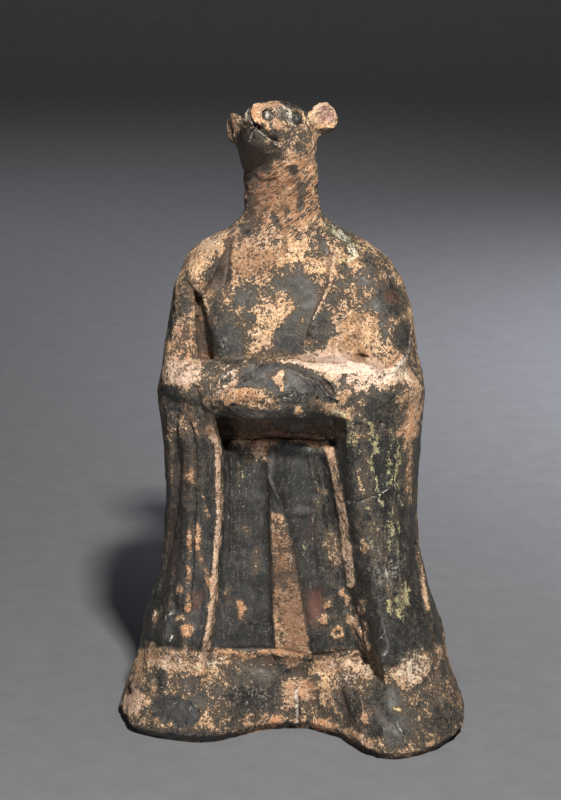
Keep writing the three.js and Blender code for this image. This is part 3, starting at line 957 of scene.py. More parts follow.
@dataclass
class Sleeves(Region):
    """The two long sleeves that hang to the hem on both sides of the skirt."""

    top: float = 438.0
    foot: float = 648.0
    soil: float = -0.06
    drawn: float = 2.2
    cling: float = 1.25
    strip_height: float = 0.12
    valley_depth: float = 0.8
    long_crack: Path = ((342.3, 501.7), (359, 501.7), (379.3, 494.3), (389, 487), (398, 481))
    short_crack: Path = ((394, 483), (399.7, 498), (403.4, 505))
    left_strip: Path = (
        (209, 429), (216.6, 442), (219, 456), (219.2, 520), (216.5, 557), (214, 590), (212.6, 622),
        (206.5, 645), (203, 658),
    )
    right_strip: Path = ((330, 450), (336.5, 480), (343, 518), (348, 557), (350.5, 584))
    step: Path = (
        (332, 441), (338, 468), (341, 488), (346.5, 518), (351.5, 545), (358.5, 580), (364, 612),
        (370, 640), (374, 660),
    )
    first_valley: Path = (
        (177, 418), (178, 444), (178.7, 473), (177, 504), (172.4, 535), (167, 560), (161, 590),
    )
    second_valley: Path = (
        (190, 424), (195, 448), (195.5, 470), (194, 490), (192.8, 539), (191, 570), (189.5, 600),
    )

    def carving(self) -> list[Mark]:
        """The strips on the inner edges, the round folds that fall from the left elbow, and the cracks.

        Returns:
            Marks, with their heights in millimetres.
        """
        return [
            Trail(self.left_strip, 3.3, self.strip_height, 0.5),
            Fold(tuple((x - 5.6, y) for x, y in self.left_strip[1:]), 2, -0.4),
            Fold(tuple((x - 6, y) for x, y in self.first_valley), 4.2, 0.9),
            Fold(self.first_valley, 1.6, -self.valley_depth),
            Fold(tuple((x - 8, y) for x, y in self.second_valley), 5, 0.9),
            Fold(self.second_valley, 1.8, -self.valley_depth),
            Trail(self.right_strip, 4.6, self.strip_height, 0.5),
            Fold(((347, 614), (356, 623), (362, 634), (371, 650), (372.4, 657)), 3.2, 0.5),
            Fold(((360, 622), (364, 637), (368, 652)), 1, -0.5),
            Fold(((417.4, 540), (421, 580), (427, 615), (436, 645)), 1.8, -0.7),
            Fold(((420.5, 545), (425.5, 592), (434, 628)), 2.2, 0.4),
            Fold(self.long_crack, 0.9, -0.3),
            Fold(((371, 461), (375.6, 494), (381, 505)), 0.9, -0.25),
            Fold(self.short_crack, 0.9, -0.25),
            Patch(382, 424, 2.2, 2.2, -0.6, soft=0.6),
            Fold(((372.4, 645.4), (378, 640), (385, 633)), 1, 0.3),
            Fold(((356, 450), (361, 500), (367, 560)), 5.5, -0.35),
            Fold(((381, 450), (384, 500), (392, 570)), 5, -0.35),
            Patch(187.8, 630, 11, 9, 0.18, soft=0.6),
            Patch(176.3, 586, 3.6, 6, 0.12, -10),
            Patch(186, 603, 4.5, 9, 0.12, -10),
        ]

    def slopes(self) -> list[Trail]:
        """The step from the right sleeve down to the skirt.

        Returns:
            The lines, as wide as the slopes.
        """
        return [Trail(self.step, 17)]

    def deposits(self) -> dict[Deposit, list[Mark]]:
        """Tan strips on dark cloth, yellow-green streaks and white scratches on the right.

        Returns:
            The marks of each deposit, with amounts that add to or take from its cover.
        """
        return {
            Deposit.SOIL: [
                Trail(self.left_strip, 4.2, 1, 0.4),
                Patch(213.7, 592, 7, 14, 0.4),
                Patch(190, 541, 3.4, 15, 0.85, 4),
                Patch(187.6, 572, 3.4, 12, 0.7, 4),
                Patch(187, 480, 5, 6, 0.55),
                Patch(192, 485, 3, 36, 0.42),
                Patch(204.5, 516, 3.8, 7, 0.85),
                Patch(203.5, 501, 3, 5, 0.6),
                Patch(198.5, 538, 3.4, 13, 0.75),
                Patch(199, 560, 4, 8, 0.75),
                Patch(206.5, 576, 4, 11, 0.8, -14),
                Patch(203.5, 585, 8, 6, 0.4),
                Patch(177.4, 587, 3.4, 6, 0.75, -20),
                Patch(187.5, 598, 3.4, 6, 0.6, 14),
                Patch(185, 606, 4, 4.4, 0.6),
                Patch(187.8, 630, 11, 8.5, 0.75, 12),
                Patch(180, 616.5, 5, 3, 0.5),
                Patch(154.4, 618.6, 3, 6, 0.5),
                Trail(((172, 430), (171.6, 500), (166, 563)), 1.6, 0.32, 0.9),
                Trail(self.right_strip, 4.6, 0.9, 0.4),
                Patch(334, 553, 8, 22, 0.6, -10),
                Patch(352.4, 549.7, 2.6, 8, 0.45),
                Patch(362.9, 547, 4, 7, 0.45),
                Patch(360.5, 607, 4, 9, 0.7),
                Patch(345, 596, 3, 7, 0.5),
                Patch(363, 626, 5, 8, 0.55),
                Patch(351, 618, 9, 6, 0.65, 25),
                Trail(((350, 622), (360, 637.7), (369.6, 649), (372.4, 657)), 5, 0.7),
                Trail(((353.4, 440.6), (355.3, 453.6), (359, 479.5), (362.7, 494)), 1.6, 0.4),
                Trail(((410, 430), (408, 465), (409, 500)), 7, 0.66, 1),
                Patch(374, 545, 16, 24, 0.36),
                Patch(398, 585, 14, 36, 0.32),
                Patch(366, 470, 8, 30, 0.2),
                Trail(((417.4, 515), (419.3, 552), (422, 574), (427, 610)), 3, 0.5),
                # Paler soil on the sleeve's right edge, partly a painted highlight along that edge.
                Patch(424, 590, 5, 22, 0.3, -10),
                Patch(399, 600, 5, 6, 0.3),
                Patch(176, 500, 3, 60, -0.3),
                Patch(228, 520, 4, 70, -0.4),
                Patch(346, 470, 6, 30, -0.3),
                Patch(382, 470, 10, 34, -0.5),
                Patch(388, 640, 15, 20, -0.7),
                Patch(165, 634, 14, 12, -0.6),
                Patch(202, 628, 6, 24, -0.7, 8),
            ],
            Deposit.RUST: [
                Patch(187.8, 630, 11, 8.5, 0.7),
                Trail(((409, 430), (408.5, 470), (409, 520)), 8, 0.3),
                Trail(((190, 450), (190, 540), (186, 600)), 6, 0.7),
                Trail(((204, 470), (200, 560), (210, 590)), 6, 0.9),
                Patch(186, 603, 5, 10, 0.8),
                Patch(176, 586, 4, 6, 0.8),
                Patch(352.4, 549.7, 3, 8, 0.9),
                Patch(360, 634, 12, 20, 0.3),
            ],
            Deposit.ROSE: [
                Trail(self.left_strip, 4.6, 0.45),
                Trail(self.right_strip, 5, 0.3),
                # Pale rose on the sleeve's right edge: soil, and partly a painted highlight along that edge.
                Patch(426, 592, 6, 20, 0.25, -10),
                Patch(345, 560, 6, 14, 0.4),
                Patch(418, 545, 5, 18, 0.4),
            ],
            Deposit.OLIVE: [
                Trail(
                    ((372, 424), (370.5, 440), (371.5, 455), (374, 478), (377, 500), (382, 504)), 1.5, 0.75,
                ),
                Trail(((376, 428), (374, 446)), 2, 0.6),
                Trail(((391, 432), (389, 450), (389.5, 470), (387, 484)), 1.8, 0.6),
                Trail(((396, 440), (397, 462), (394, 478)), 2.4, 0.65),
                Trail(((394, 480), (399, 494), (403, 505)), 1.2, 0.6),
                Trail(((365.5, 505), (368.5, 512), (369.5, 530), (371.5, 545)), 2, 0.55),
                Trail(((391, 514), (392, 530), (388.5, 545)), 2.6, 0.6),
                Trail(((397.5, 522), (399, 540), (397, 550)), 1.4, 0.55),
                Trail(((394.5, 500), (394.5, 512)), 1.3, 0.6),
                Patch(404, 597, 7, 10, 0.8, -10),
                Patch(388.7, 606, 2.4, 9, 0.95),
                Trail(((395, 600), (399, 610), (401, 618)), 1.8, 0.9),
                Patch(352, 438, 3, 7, 0.45),
                Trail(((355, 450), (359, 480), (363, 496)), 1.3, 0.4),
            ],
            Deposit.CHALK: [
                Trail(self.long_crack, 0.6, 0.55),
                Trail(((372, 470), (375.6, 494), (380.5, 504.5), (383, 500)), 0.6, 0.5),
                Trail(self.short_crack, 0.8, 0.6),
                Patch(386.8, 574, 5, 13, 0.1, 8),
                Trail(((384, 566), (388, 578), (392, 588)), 0.9, 0.5),
                Patch(174, 641, 1.8, 2.6, 0.9),
                Patch(172, 613, 6, 1.6, 0.55, -20),
                Trail(((372.4, 645.4), (378, 640), (385, 633.5)), 0.9, 0.55),
                Patch(163, 619, 2, 2.6, 0.5),
                Patch(403, 560, 2, 8, 0.2),
                Patch(384, 556, 20, 40, 0.3),
                Patch(376, 470, 16, 40, 0.12),
            ],
            Deposit.BLUSH: [
                Patch(197.4, 598, 8, 11, 0.45, 0, 0.8),
                Patch(184, 470, 18, 36, 0.25),
                Patch(172, 540, 8, 40, 0.3),
            ],
            # Painted shade in the corner under the left cuff, in the right sleeve's outer groove and in a
            # small hole, with dark grime on the left sleeve.
            Deposit.GRIME_AND_SHADE: [
                Patch(182, 460, 22, 26, 0.3),
                Patch(206, 437, 5, 12, 0.4),
                Patch(382, 424, 2.2, 2.2, 0.7),
                Trail(((417.4, 560), (421, 584), (427, 615), (436, 645)), 1.8, 0.6),
                Patch(169, 560, 5, 50, 0.3, 5),
            ],
        }


@dataclass
class Skirt(Region):
    """The skirt between the sleeves, with its belt line and the turned pleat."""

    top: float = 438.0
    foot: float = 648.0
    soil: float = -0.2
    drawn: float = 2.2
    cling: float = 1.3
    belt_height: float = 0.6
    pleat_height: float = 0.8
    belt: Path = ((230, 446), (242.5, 444), (279.5, 440.5), (316.5, 444), (327.5, 448.5))
    pleat_left: Path = ((270.5, 500), (272, 554), (272.4, 600), (275, 655))
    pleat_right: Path = (
        (270, 452), (272, 474), (281, 503), (288, 530), (293.5, 559), (303, 610), (311, 655),
    )

    def carving(self) -> list[Mark]:
        """Belt, the two edges of the pleat and the soft folds of the side panels.

        Returns:
            Marks, with their heights in millimetres.
        """
        return [
            Fold(tuple((x, y + 7) for x, y in self.belt), 5, self.belt_height),
            Edge(self.pleat_left[::-1], 2, 0.5 * self.pleat_height, reach=16.0),
            Edge(self.pleat_right, 1, self.pleat_height, reach=14.0),
            Fold(tuple((x - 2.2, y) for x, y in self.pleat_right[1:]), 1.1, 0.3),
            Fold(((309, 453.6), (313, 474), (318.3, 491), (322, 520), (330, 560)), 1.5, 0.35),
            Fold(((318.5, 455), (324.5, 490), (330, 530)), 2, -0.2),
            Fold(((231.4, 460), (231.8, 520), (231, 556)), 1.3, 0.35),
            Fold(((238, 455), (239, 500)), 1.2, 0.25),
            Fold(((256, 500), (256, 560), (254, 620)), 5, 0.35),
            Fold(((313, 515), (313, 540), (316, 580)), 2, -0.2),
            Patch(278, 444, 52, 7, 1.3, 1),
            Patch(300.7, 512, 8, 4, 0.3, soft=0.7),
            Patch(240, 608, 7, 12, 0.15, soft=0.5),
            Patch(325, 620, 8, 3, 0.2, -15, soft=0.5),
            Patch(329, 603, 3.6, 4.4, 0.15, soft=0.5),
            Patch(342.6, 597.5, 3, 7, 0.15, soft=0.5),
            Rim(338.5, 633, 6, 4.6, 0.18, soft=0.3),
        ]

    def deposits(self) -> dict[Deposit, list[Mark]]:
        """Dark polished panels, tan on the pleat and on the belt.

        Returns:
            The marks of each deposit, with amounts that add to or take from its cover.
        """
        pleat = (*self.pleat_left, *self.pleat_right[::-1][:-3], (284, 514), (271, 512), (270.5, 500))
        return {
            Deposit.SOIL: [
                Trail(self.belt, 3.4, 0.6, 0.9),
                Trail(tuple((x, y - 5) for x, y in self.belt), 3.4, 0.8, 0.9),
                Patch(264, 449, 16, 5, 0.5),
                Patch(255, 455, 12, 8, 0.6),
                Panel(pleat, 2.4, 0.78),
                Patch(283, 548, 7, 20, 0.1),
                Patch(276, 519, 6, 6, 0.3),
                Patch(289, 574, 8, 4, -0.3),
                Patch(292, 625, 12, 28, 0.25, -8),
                Trail(((309, 454), (313, 474), (318.3, 491)), 1.3, 0.6),
                Patch(324, 494, 4.5, 4.5, 0.7),
                Patch(240, 609, 6, 13, 0.85),
                Patch(231, 600, 6, 5, 0.4),
                Patch(255.5, 563, 6, 15, 0.62),
                Patch(226, 591, 3.6, 7, 0.6),
                Patch(243.3, 529.7, 7, 6, 0.5),
                Patch(260.5, 622, 7, 5, 0.4),
                Patch(258, 545, 6, 6, 0.25),
                Trail(((231, 470), (231.8, 505), (231, 560)), 1.1, 0.4),
                Trail(((237.8, 455), (238.5, 480), (240, 500)), 1, 0.3),
                Patch(300.7, 512, 8, 4, 0.35),
                Patch(328.5, 604, 5, 6, 0.75),
                Patch(342.8, 598, 3, 9, 0.85),
                Patch(325.6, 619.6, 7, 4, 0.85, -15),
                Rim(339, 632, 6.5, 5, 0.75, soft=0.35),
                Patch(337, 636, 8, 5, 0.55),
                Patch(350, 606, 3, 5, 0.5),
                Patch(294, 480, 20, 32, -0.7),
                Patch(252, 490, 12, 24, -0.35),
                Patch(262, 600, 9, 36, -0.35),
                Patch(308, 560, 10, 40, -0.5, -8),
                Patch(325, 590, 6, 20, -0.3, -20),
                Patch(240, 640, 22, 8, -0.6),
                Patch(318, 642, 8, 12, -0.6),
            ],
            Deposit.RUST: [
                Patch(291, 620, 16, 36, 0.5, -8),
                Patch(239.5, 607, 8, 12, 0.8),
                Patch(275, 519, 6, 6, 0.5),
                Patch(339, 632, 9, 7, 0.8),
                Patch(325, 612, 8, 10, 0.5),
                Patch(283, 446, 44, 5, 0.3),
            ],
            Deposit.ROSE: [
                Patch(289, 560, 4, 8, 0.6),
                Patch(253, 456, 9, 5, 0.4),
                Patch(292, 605, 14, 20, 0.2, -8),
            ],
            Deposit.OLIVE: [
                Patch(324, 494, 4, 4, 0.4),
                Patch(238, 480, 2, 20, 0.25),
                Patch(304, 546, 6, 10, 0.2),
            ],
            Deposit.CHALK: [
                Patch(254, 455, 9, 5, 0.25),
                Trail(((313, 514), (313.2, 539)), 0.7, 0.4),
                Trail(((231.6, 525), (231.4, 552)), 0.8, 0.3),
                Patch(241, 503, 3, 1.6, 0.4),
                Trail(((290, 556), (294, 562)), 1.2, 0.35),
                Patch(266, 642, 1.6, 1.6, 0.5),
            ],
            Deposit.BLUSH: [
                Patch(316, 609, 12, 21, 0.62, -10, 1),
                Patch(312, 530, 10, 24, 0.25),
                Patch(290, 640, 14, 16, 0.3),
            ],
            # Painted shade in the recess under the hands, and dark grime on the pleat.
            Deposit.GRIME_AND_SHADE: [
                Patch(270, 430, 58, 6, 0.3),
                Patch(288, 596, 17, 70, 0.95, -8),
            ],
        }


@dataclass
class Hem(Region):
    """The flared hem, its crease below sleeves and skirt, and its waved foot."""

    top: float = 648.0
    foot: float = 780.0
    soil: float = 0.44
    crease_depth: float = 0.4
    oval_depth: float = 0.35
    outer_groove: Path = ((434.6, 644), (436.8, 668), (439, 687), (442, 706))
    scratch: Path = ((396.7, 724.4), (402.6, 733.8), (405.4, 743))
    short_scratch: Path = ((360, 697), (364, 708))

    def carving(self) -> list[Mark]:
        """Crease, the outer groove, the smooth oval on the left and the cracked foot.

        Returns:
            Marks, with their heights in millimetres.
        """
        crease = (
            (145, 637), (158, 646), (200, 652.5), (226, 650), (251, 649), (280, 650), (313, 655.5),
            (345, 651.5), (360, 649.5), (377, 664), (393, 668), (412, 660), (433, 648),
        )
        return [
            Fold(crease, 2, -self.crease_depth),
            Fold(self.outer_groove, 2, -1),
            Fold(((445, 650), (450, 675), (455, 700)), 3, 0.35),
            Patch(178.4, 712.6, 24, 15, -self.oval_depth, 15, soft=0.3),
            Rim(178.4, 712.6, 24.5, 15.5, 0.12, 15, soft=0.12),
            Fold(((338, 690), (345, 710), (343, 728)), 5, -0.7),
            Fold(((349, 700), (360, 722), (364, 736)), 3, 0.4),
            Fold(((299, 696), (299.6, 712), (299.6, 727)), 1.2, -1.3),
            Patch(295.2, 731, 2.6, 4, -1.6, soft=0.5),
            Patch(127.7, 691, 3.6, 4.6, -1, soft=0.5),
            Fold(((152, 684), (154, 694), (146, 704), (144.5, 716)), 1.6, 0.4),
            Fold(((354, 734), (361, 738), (368.4, 745.6)), 3.2, 0.5),
            Patch(366.7, 717.8, 5, 7, 0.4, soft=0.5),
            Patch(323.5, 726.7, 12, 6.5, 0.35, soft=0.5),
            Patch(278, 720, 7, 4.6, 0.45, soft=0.5),
            Patch(297.6, 689, 11, 11, 0.35, soft=0.5),
            Fold(self.scratch, 1, 0.3),
            Fold(((383, 728), (384, 742), (379, 752)), 2.4, 0.4),
            Fold(((372, 690), (380, 712), (396, 728)), 5, -0.35),
            Fold(self.short_scratch, 1, 0.3),
        ]

    def deposits(self) -> dict[Deposit, list[Mark]]:
        """Tan soil under the crease and along the foot, on dark polished clay.

        Returns:
            The marks of each deposit, with amounts that add to or take from its cover.
        """
        return {
            Deposit.SOIL: [
                Patch(143, 660, 14, 24, 0.45, 12),
                Patch(178, 664, 24, 12, 0.7, 8),
                Patch(211, 666, 17, 12, 0.4),
                Patch(210, 686, 5, 10, 0.35),
                Trail(((214, 651), (226, 653), (245, 654.5), (262, 652), (278.5, 650.5)), 3.4, 0.5, 0.9),
                Patch(292.9, 660.7, 8, 5, 0.75),
                Patch(336.5, 664, 24, 10, 0.6),
                Patch(330, 681, 7, 11, 0.45),
                Patch(369, 670, 10, 14, 0.4, 15),
                Patch(412, 670, 22, 14, 0.8, -25),
                Patch(402, 688, 7, 6, 0.3),
                Patch(440.5, 652, 3.6, 9, 0.5),
                Patch(451, 694, 5, 8, 0.35),
                Patch(297.5, 688, 11, 12, 0.7),
                Patch(309, 700, 4, 9, 0.4),
                Patch(133.6, 703, 11, 12, 0.65, -15),
                Trail(((156, 682), (154, 694), (147, 703)), 3.4, 0.6),
                Patch(203.2, 719.7, 4.5, 13, 0.6, -12),
                Patch(226.8, 718.5, 4, 4, 0.5),
                Patch(249.2, 720, 7, 5, 0.55, -20),
                Patch(264.6, 716, 5, 4, 0.5),
                Patch(278, 720, 7, 5, 0.8),
                Patch(300.7, 722, 5, 4, 0.7),
                Patch(225.6, 731, 5, 4, 0.4),
                Patch(323.5, 726.5, 12, 6.5, 0.8, 12),
                Patch(366.7, 717.8, 4.6, 7.5, 0.8),
                Trail(((346, 732), (360, 737.4), (369, 746)), 4, 0.7),
                Patch(383, 743, 4, 10, 0.5),
                Patch(407, 751, 20, 4.6, 0.65, -4),
                Patch(434.4, 742, 10, 5, 0.45, -25),
                Patch(427.4, 705.5, 4.5, 4.5, 0.45),
                Patch(393, 708, 8, 4, 0.25),
                Patch(178.4, 712.6, 23, 14, -1.1, 15, 0.15),
                Patch(262, 685, 22, 22, -0.4),
                Patch(245, 702, 30, 12, -0.3),
                Patch(292, 672, 14, 5, -0.5),
                Patch(385, 650, 22, 10, -0.8, -20),
                Patch(388, 695, 20, 12, -0.4),
                Patch(390, 725, 28, 16, -0.6),
                Patch(348, 705, 12, 18, -0.45),
                Patch(447, 715, 14, 18, -0.35),
                Patch(163, 684, 6, 12, -0.35),
                Patch(178, 735, 40, 6, -0.5, 8),
                Patch(430, 690, 6, 22, -0.2),
            ],
            Deposit.RUST: [
                Patch(292.9, 660.7, 8, 5, 0.9),
                Patch(297.5, 688, 12, 12, 0.7),
                Patch(278, 720, 7, 5, 0.9),
                Patch(323.5, 727, 12, 7, 0.9),
                Patch(366.7, 718, 6, 8, 0.8),
                Patch(300, 722, 6, 4, 0.8),
                Patch(133, 705, 11, 12, 0.3),
                Patch(249, 720, 8, 6, 0.6),
                Trail(((226, 653), (245, 654), (278, 650)), 4, 0.5),
            ],
            Deposit.ROSE: [
                Patch(414, 668, 22, 15, 0.35),
                Patch(133, 700, 12, 14, 0.5),
                Patch(340, 660, 18, 8, 0.3),
            ],
            Deposit.OLIVE: [
                Patch(412, 668, 16, 12, 0.35, -25),
                Patch(208, 664, 14, 9, 0.3),
                Patch(393, 708, 7, 3, 0.4),
            ],
            Deposit.CHALK: [
                Trail(((295.6, 690), (296.6, 704), (297.4, 716), (298.2, 726)), 1.3, 1),
                Trail(self.scratch, 0.8, 0.5),
                Trail(((350, 690), (354, 700)), 1.4, 0.35),
                Trail(self.short_scratch, 0.8, 0.4),
                Patch(372, 668, 8, 10, 0.3, 20),
                Patch(216, 662, 12, 6, 0.4),
                Patch(255, 688, 44, 28, 0.2),
                Patch(180, 690, 30, 8, 0.2),
                Patch(178, 663, 24, 12, 0.35),
                Patch(345, 672, 26, 14, 0.3),
                Trail(((182, 699), (194, 704), (203, 712)), 0.8, 0.4),
                Patch(402, 750, 12, 3, 0.3),
                Patch(412, 668, 20, 14, 0.5, -25),
            ],
            Deposit.BLUSH: [Patch(132, 700, 12, 14, 0.4), Patch(332, 750, 8, 5, 0.2)],
            # Painted shade along the crease, in the outer groove and in the crack and holes of the foot,
            # partly dark grime.
            Deposit.GRIME_AND_SHADE: [
                Trail(((145, 637), (158, 645.5), (200, 651)), 1.8, 0.7),
                Trail(((377, 662), (393, 666.5), (412, 658), (433, 647)), 1.6, 0.6),
                Trail(self.outer_groove, 2, 0.6),
                Patch(295.2, 731, 2.6, 3.6, 0.9),
                Trail(((299.6, 698), (300, 712), (300, 726)), 1.2, 0.8),
                Patch(127.7, 691, 3.6, 4.6, 0.8),
            ],
        }


@dataclass(frozen=True)
class Earthenware:
    """Fired grey earthenware, pressed in a mould and burnished, then long buried.

    The clay is smoke-black with a low waxy sheen; the soil that clings to it is matt and crumbly. From cloud
    to rasp the values are sizes of lumps, strokes and grains in millimetres, as are the two depths."""

    name: str = "burnished grey earthenware with burial soil"
    clay_dark: str = "#161716"
    clay_grey: str = "#262625"
    clay_worn: str = "#47453f"
    # clay_brown is dark grime on bare clay, and painted shade in its grooves and recesses.
    clay_brown: str = "#3a2e25"
    clay_red: str = "#7c4936"
    stain: str = "#6a5e50"
    dust: str = "#928c80"
    soil_thin: str = "#7a6653"
    soil_plum: str = "#8f6663"
    soil_deep: str = "#8c684a"
    soil_tan: str = "#c9a27a"
    # soil_pale is pale soil, and partly a painted highlight on raised crumbs.
    soil_pale: str = "#efdcbf"
    # soil_brown is brown grime on the soil, and painted shade where the soil lies in grooves and recesses.
    soil_brown: str = "#6b4d3a"
    soil_rust: str = "#ba8259"
    soil_rose: str = "#dfc4b4"
    # pit_shade is painted shade in the crust's pits, over dark soil.
    pit_shade: str = "#4a3424"
    lime: str = "#d8d3c6"
    moss: str = "#c9c08e"
    cloud: float = 9.0
    clump: float = 2.6
    brush: float = 1.6
    stroke: float = 0.7
    crumb: float = 1.0
    grit: float = 0.42
    rasp: float = 1.0
    scratch_depth: float = 0.08
    crust_depth: float = 0.55
    drawn_out: float = 5.0
    rasp_slope: float = 35.0
    rasp_stretch: tuple[float, float, float] = (3.2, 3.0, 1.0)
    clay_sheen: tuple[float, float] = (0.4, 0.66)
    soil_roughness: float = 0.92
    clay_ior: float = 1.5

    def material(self) -> bpy.types.Material:
        """Builds the finish.

        Returns:
            Clay and soil as one node material.
        """
        made = bpy.data.materials.new(self.name)
        made.use_nodes = True
        tree = made.node_tree
        tree.nodes.clear()
        fields = {
            name: node(tree, "ShaderNodeAttribute", {"attribute_name": name.value}, {}).outputs["Fac"]
            for name in (*Deposit, *Working)
        }
        grains = self._grains(tree, fields)
        shares = self._shares(tree, fields, grains)
        base = self._colours(tree, shares)
        sheen = {"Value": grains["brush"], "To Min": self.clay_sheen[0], "To Max": self.clay_sheen[1]}
        gloss = node(tree, "ShaderNodeMapRange", {}, sheen).outputs["Result"]
        dulled = {0: shares["film"], 2: gloss, 3: self.soil_roughness}
        rough = node(tree, "ShaderNodeMix", {}, dulled).outputs[0]
        look = {"IOR": self.clay_ior, "Base Color": base, "Roughness": rough}
        look["Normal"] = self._relief(tree, fields, grains, shares["cover"])
        shader = node(tree, "ShaderNodeBsdfPrincipled", {}, look)
        node(tree, "ShaderNodeOutputMaterial", {}, {"Surface": shader.outputs[0]})
        return made

    def _grains(self, tree: bpy.types.NodeTree, fields: dict[Enum, Socket]) -> dict[str, Socket]:
        """Adds the noises that break up the clay and the soil.

        Args:
            tree: The material's nodes.
            fields: The mesh's attributes, by what they hold.

        Returns:
            The noises by name. Runs are crumbs that follow how the soil was worked, the skin is the grain
            of the crust, and ragged frays the edges of the soil.
        """
        place = node(tree, "ShaderNodeTexCoord", {}, {}).outputs["Object"]
        down = {"Vector": place, "Scale": (1.0, 1.0, 1.0 / self.drawn_out)}
        drawn = node(tree, "ShaderNodeMapping", {}, down).outputs[0]
        turn = (0.0, math.radians(-self.rasp_slope), 0.0)
        around = {"Vector": place, "Rotation": turn, "Scale": self.rasp_stretch}
        rasped = node(tree, "ShaderNodeMapping", {"vector_type": "TEXTURE"}, around).outputs[0]
        kinds = {
            "clouds": (self.cloud, 4.0, 0.55, place),
            "clumps": (self.clump, 4.0, 0.6, place),
            "brush": (self.brush, 4.0, 0.6, place),
            "crumbs": (self.crumb, 4.0, 0.62, place),
            "grit": (self.grit, 3.0, 0.6, place),
            "strokes": (self.stroke, 4.0, 0.6, drawn),
            "drawn": (self.crumb, 4.0, 0.62, drawn),
            "rasps": (self.rasp, 3.0, 0.6, rasped),
        }
        grains = {}
        for name, (lump, detail, rough, where) in kinds.items():
            setting = {"Vector": where, "Scale": 1.0 / (lump * MM), "Detail": detail, "Roughness": rough}
            grains[name] = node(tree, "ShaderNodeTexNoise", {}, setting).outputs["Fac"]
        runs = grains["crumbs"]
        for way, most, grain in ((Working.STREAK, 0.45, "drawn"), (Working.RASP, 0.8, "rasps")):
            worked = {0: fields[way], 1: most}
            share = node(tree, "ShaderNodeMath", {"operation": "MULTIPLY"}, worked).outputs[0]
            runs = node(tree, "ShaderNodeMix", {}, {0: share, 2: runs, 3: grains[grain]}).outputs[0]
        grains["runs"] = runs
        grains["ragged"] = summed(tree, -3.15, (grains["clumps"], 1.7), (runs, 2.5), (grains["grit"], 2.1))
        skin = {0: fields[Working.RASP], 2: grains["crumbs"], 3: grains["rasps"]}
        grains["skin"] = node(tree, "ShaderNodeMix", {}, skin).outputs[0]
        return grains

    def _shares(
        self, tree: bpy.types.NodeTree, fields: dict[Enum, Socket], grains: dict[str, Socket]
    ) -> dict[str, Socket]:
        """Works out where each layer lies.

        Args:
            tree: The material's nodes.
            fields: The mesh's attributes, by what they hold.
            grains: The noises by name.

        Returns:
            How much of each layer shows, from 0 to 1, by name.
        """
        grime_and_shade = fields[Deposit.GRIME_AND_SHADE]
        ragged = grains["ragged"]
        edge = summed(tree, 0.0, (fields[Deposit.SOIL], 1.0), (ragged, 1.0))
        ranges = {
            "cover": (edge, 0.34, 0.72),
            "thick": (edge, 0.45, 1.15),
            "thin": (edge, 1.15, 0.45),
            "film": (edge, -0.15, 0.5),
            "greyed": (grains["clouds"], 0.35, 0.65),
            "worn": (grains["strokes"], 0.48, 0.72),
            "blush": (fields[Deposit.BLUSH], 0.1, 1.1),
            # Grime and painted shade: darker brown on clay and soil in grooves, hollows and recesses.
            "clay_grime_and_shade": (grime_and_shade, 0.1, 1.1),
            "soil_grime_and_shade": (grime_and_shade, 0.0, 1.2),
            "dusty": (summed(tree, 0.0, (grains["grit"], 0.6), (grains["runs"], 0.4)), 0.5, 0.66),
            "tan": (summed(tree, 0.0, (grains["clouds"], 0.6), (grains["crumbs"], 0.4)), 0.4, 0.6),
            "rusty": (grains["clumps"], 0.3, 0.6),
            # Paler grains on the raised crumbs and dark pits between them: partly soil tone, partly painted
            # light and shade on the crust's grain.
            "pale": (summed(tree, 0.0, (grains["brush"], 0.5), (grains["grit"], 0.5)), 0.5, 0.64),
            "shaded_pits": (summed(tree, 1.0, (grains["skin"], -0.5), (grains["grit"], -0.5)), 0.52, 0.62),
            "mossy": (fields[Deposit.OLIVE], 0.04, 0.2),
            "moss": (summed(tree, 0.0, (fields[Deposit.OLIVE], 1.0), (ragged, 1.5)), 0.42, 0.95),
            "lime": (summed(tree, 0.0, (fields[Deposit.CHALK], 1.0), (ragged, 0.7)), 0.3, 1.0),
        }
        shares = {"rosy": fields[Deposit.ROSE]}
        for name, (value, low, high) in ranges.items():
            span = {"Value": value, "From Min": low, "From Max": high}
            smoothed = {"interpolation_type": "SMOOTHSTEP"}
            shares[name] = node(tree, "ShaderNodeMapRange", smoothed, span).outputs["Result"]
        limits = {"rusty": fields[Deposit.RUST], "pale": shares["thick"], "moss": shares["mossy"]}
        for name, within in limits.items():
            both = {0: shares[name], 1: within}
            shares[name] = node(tree, "ShaderNodeMath", {"operation": "MULTIPLY"}, both).outputs[0]
        return shares

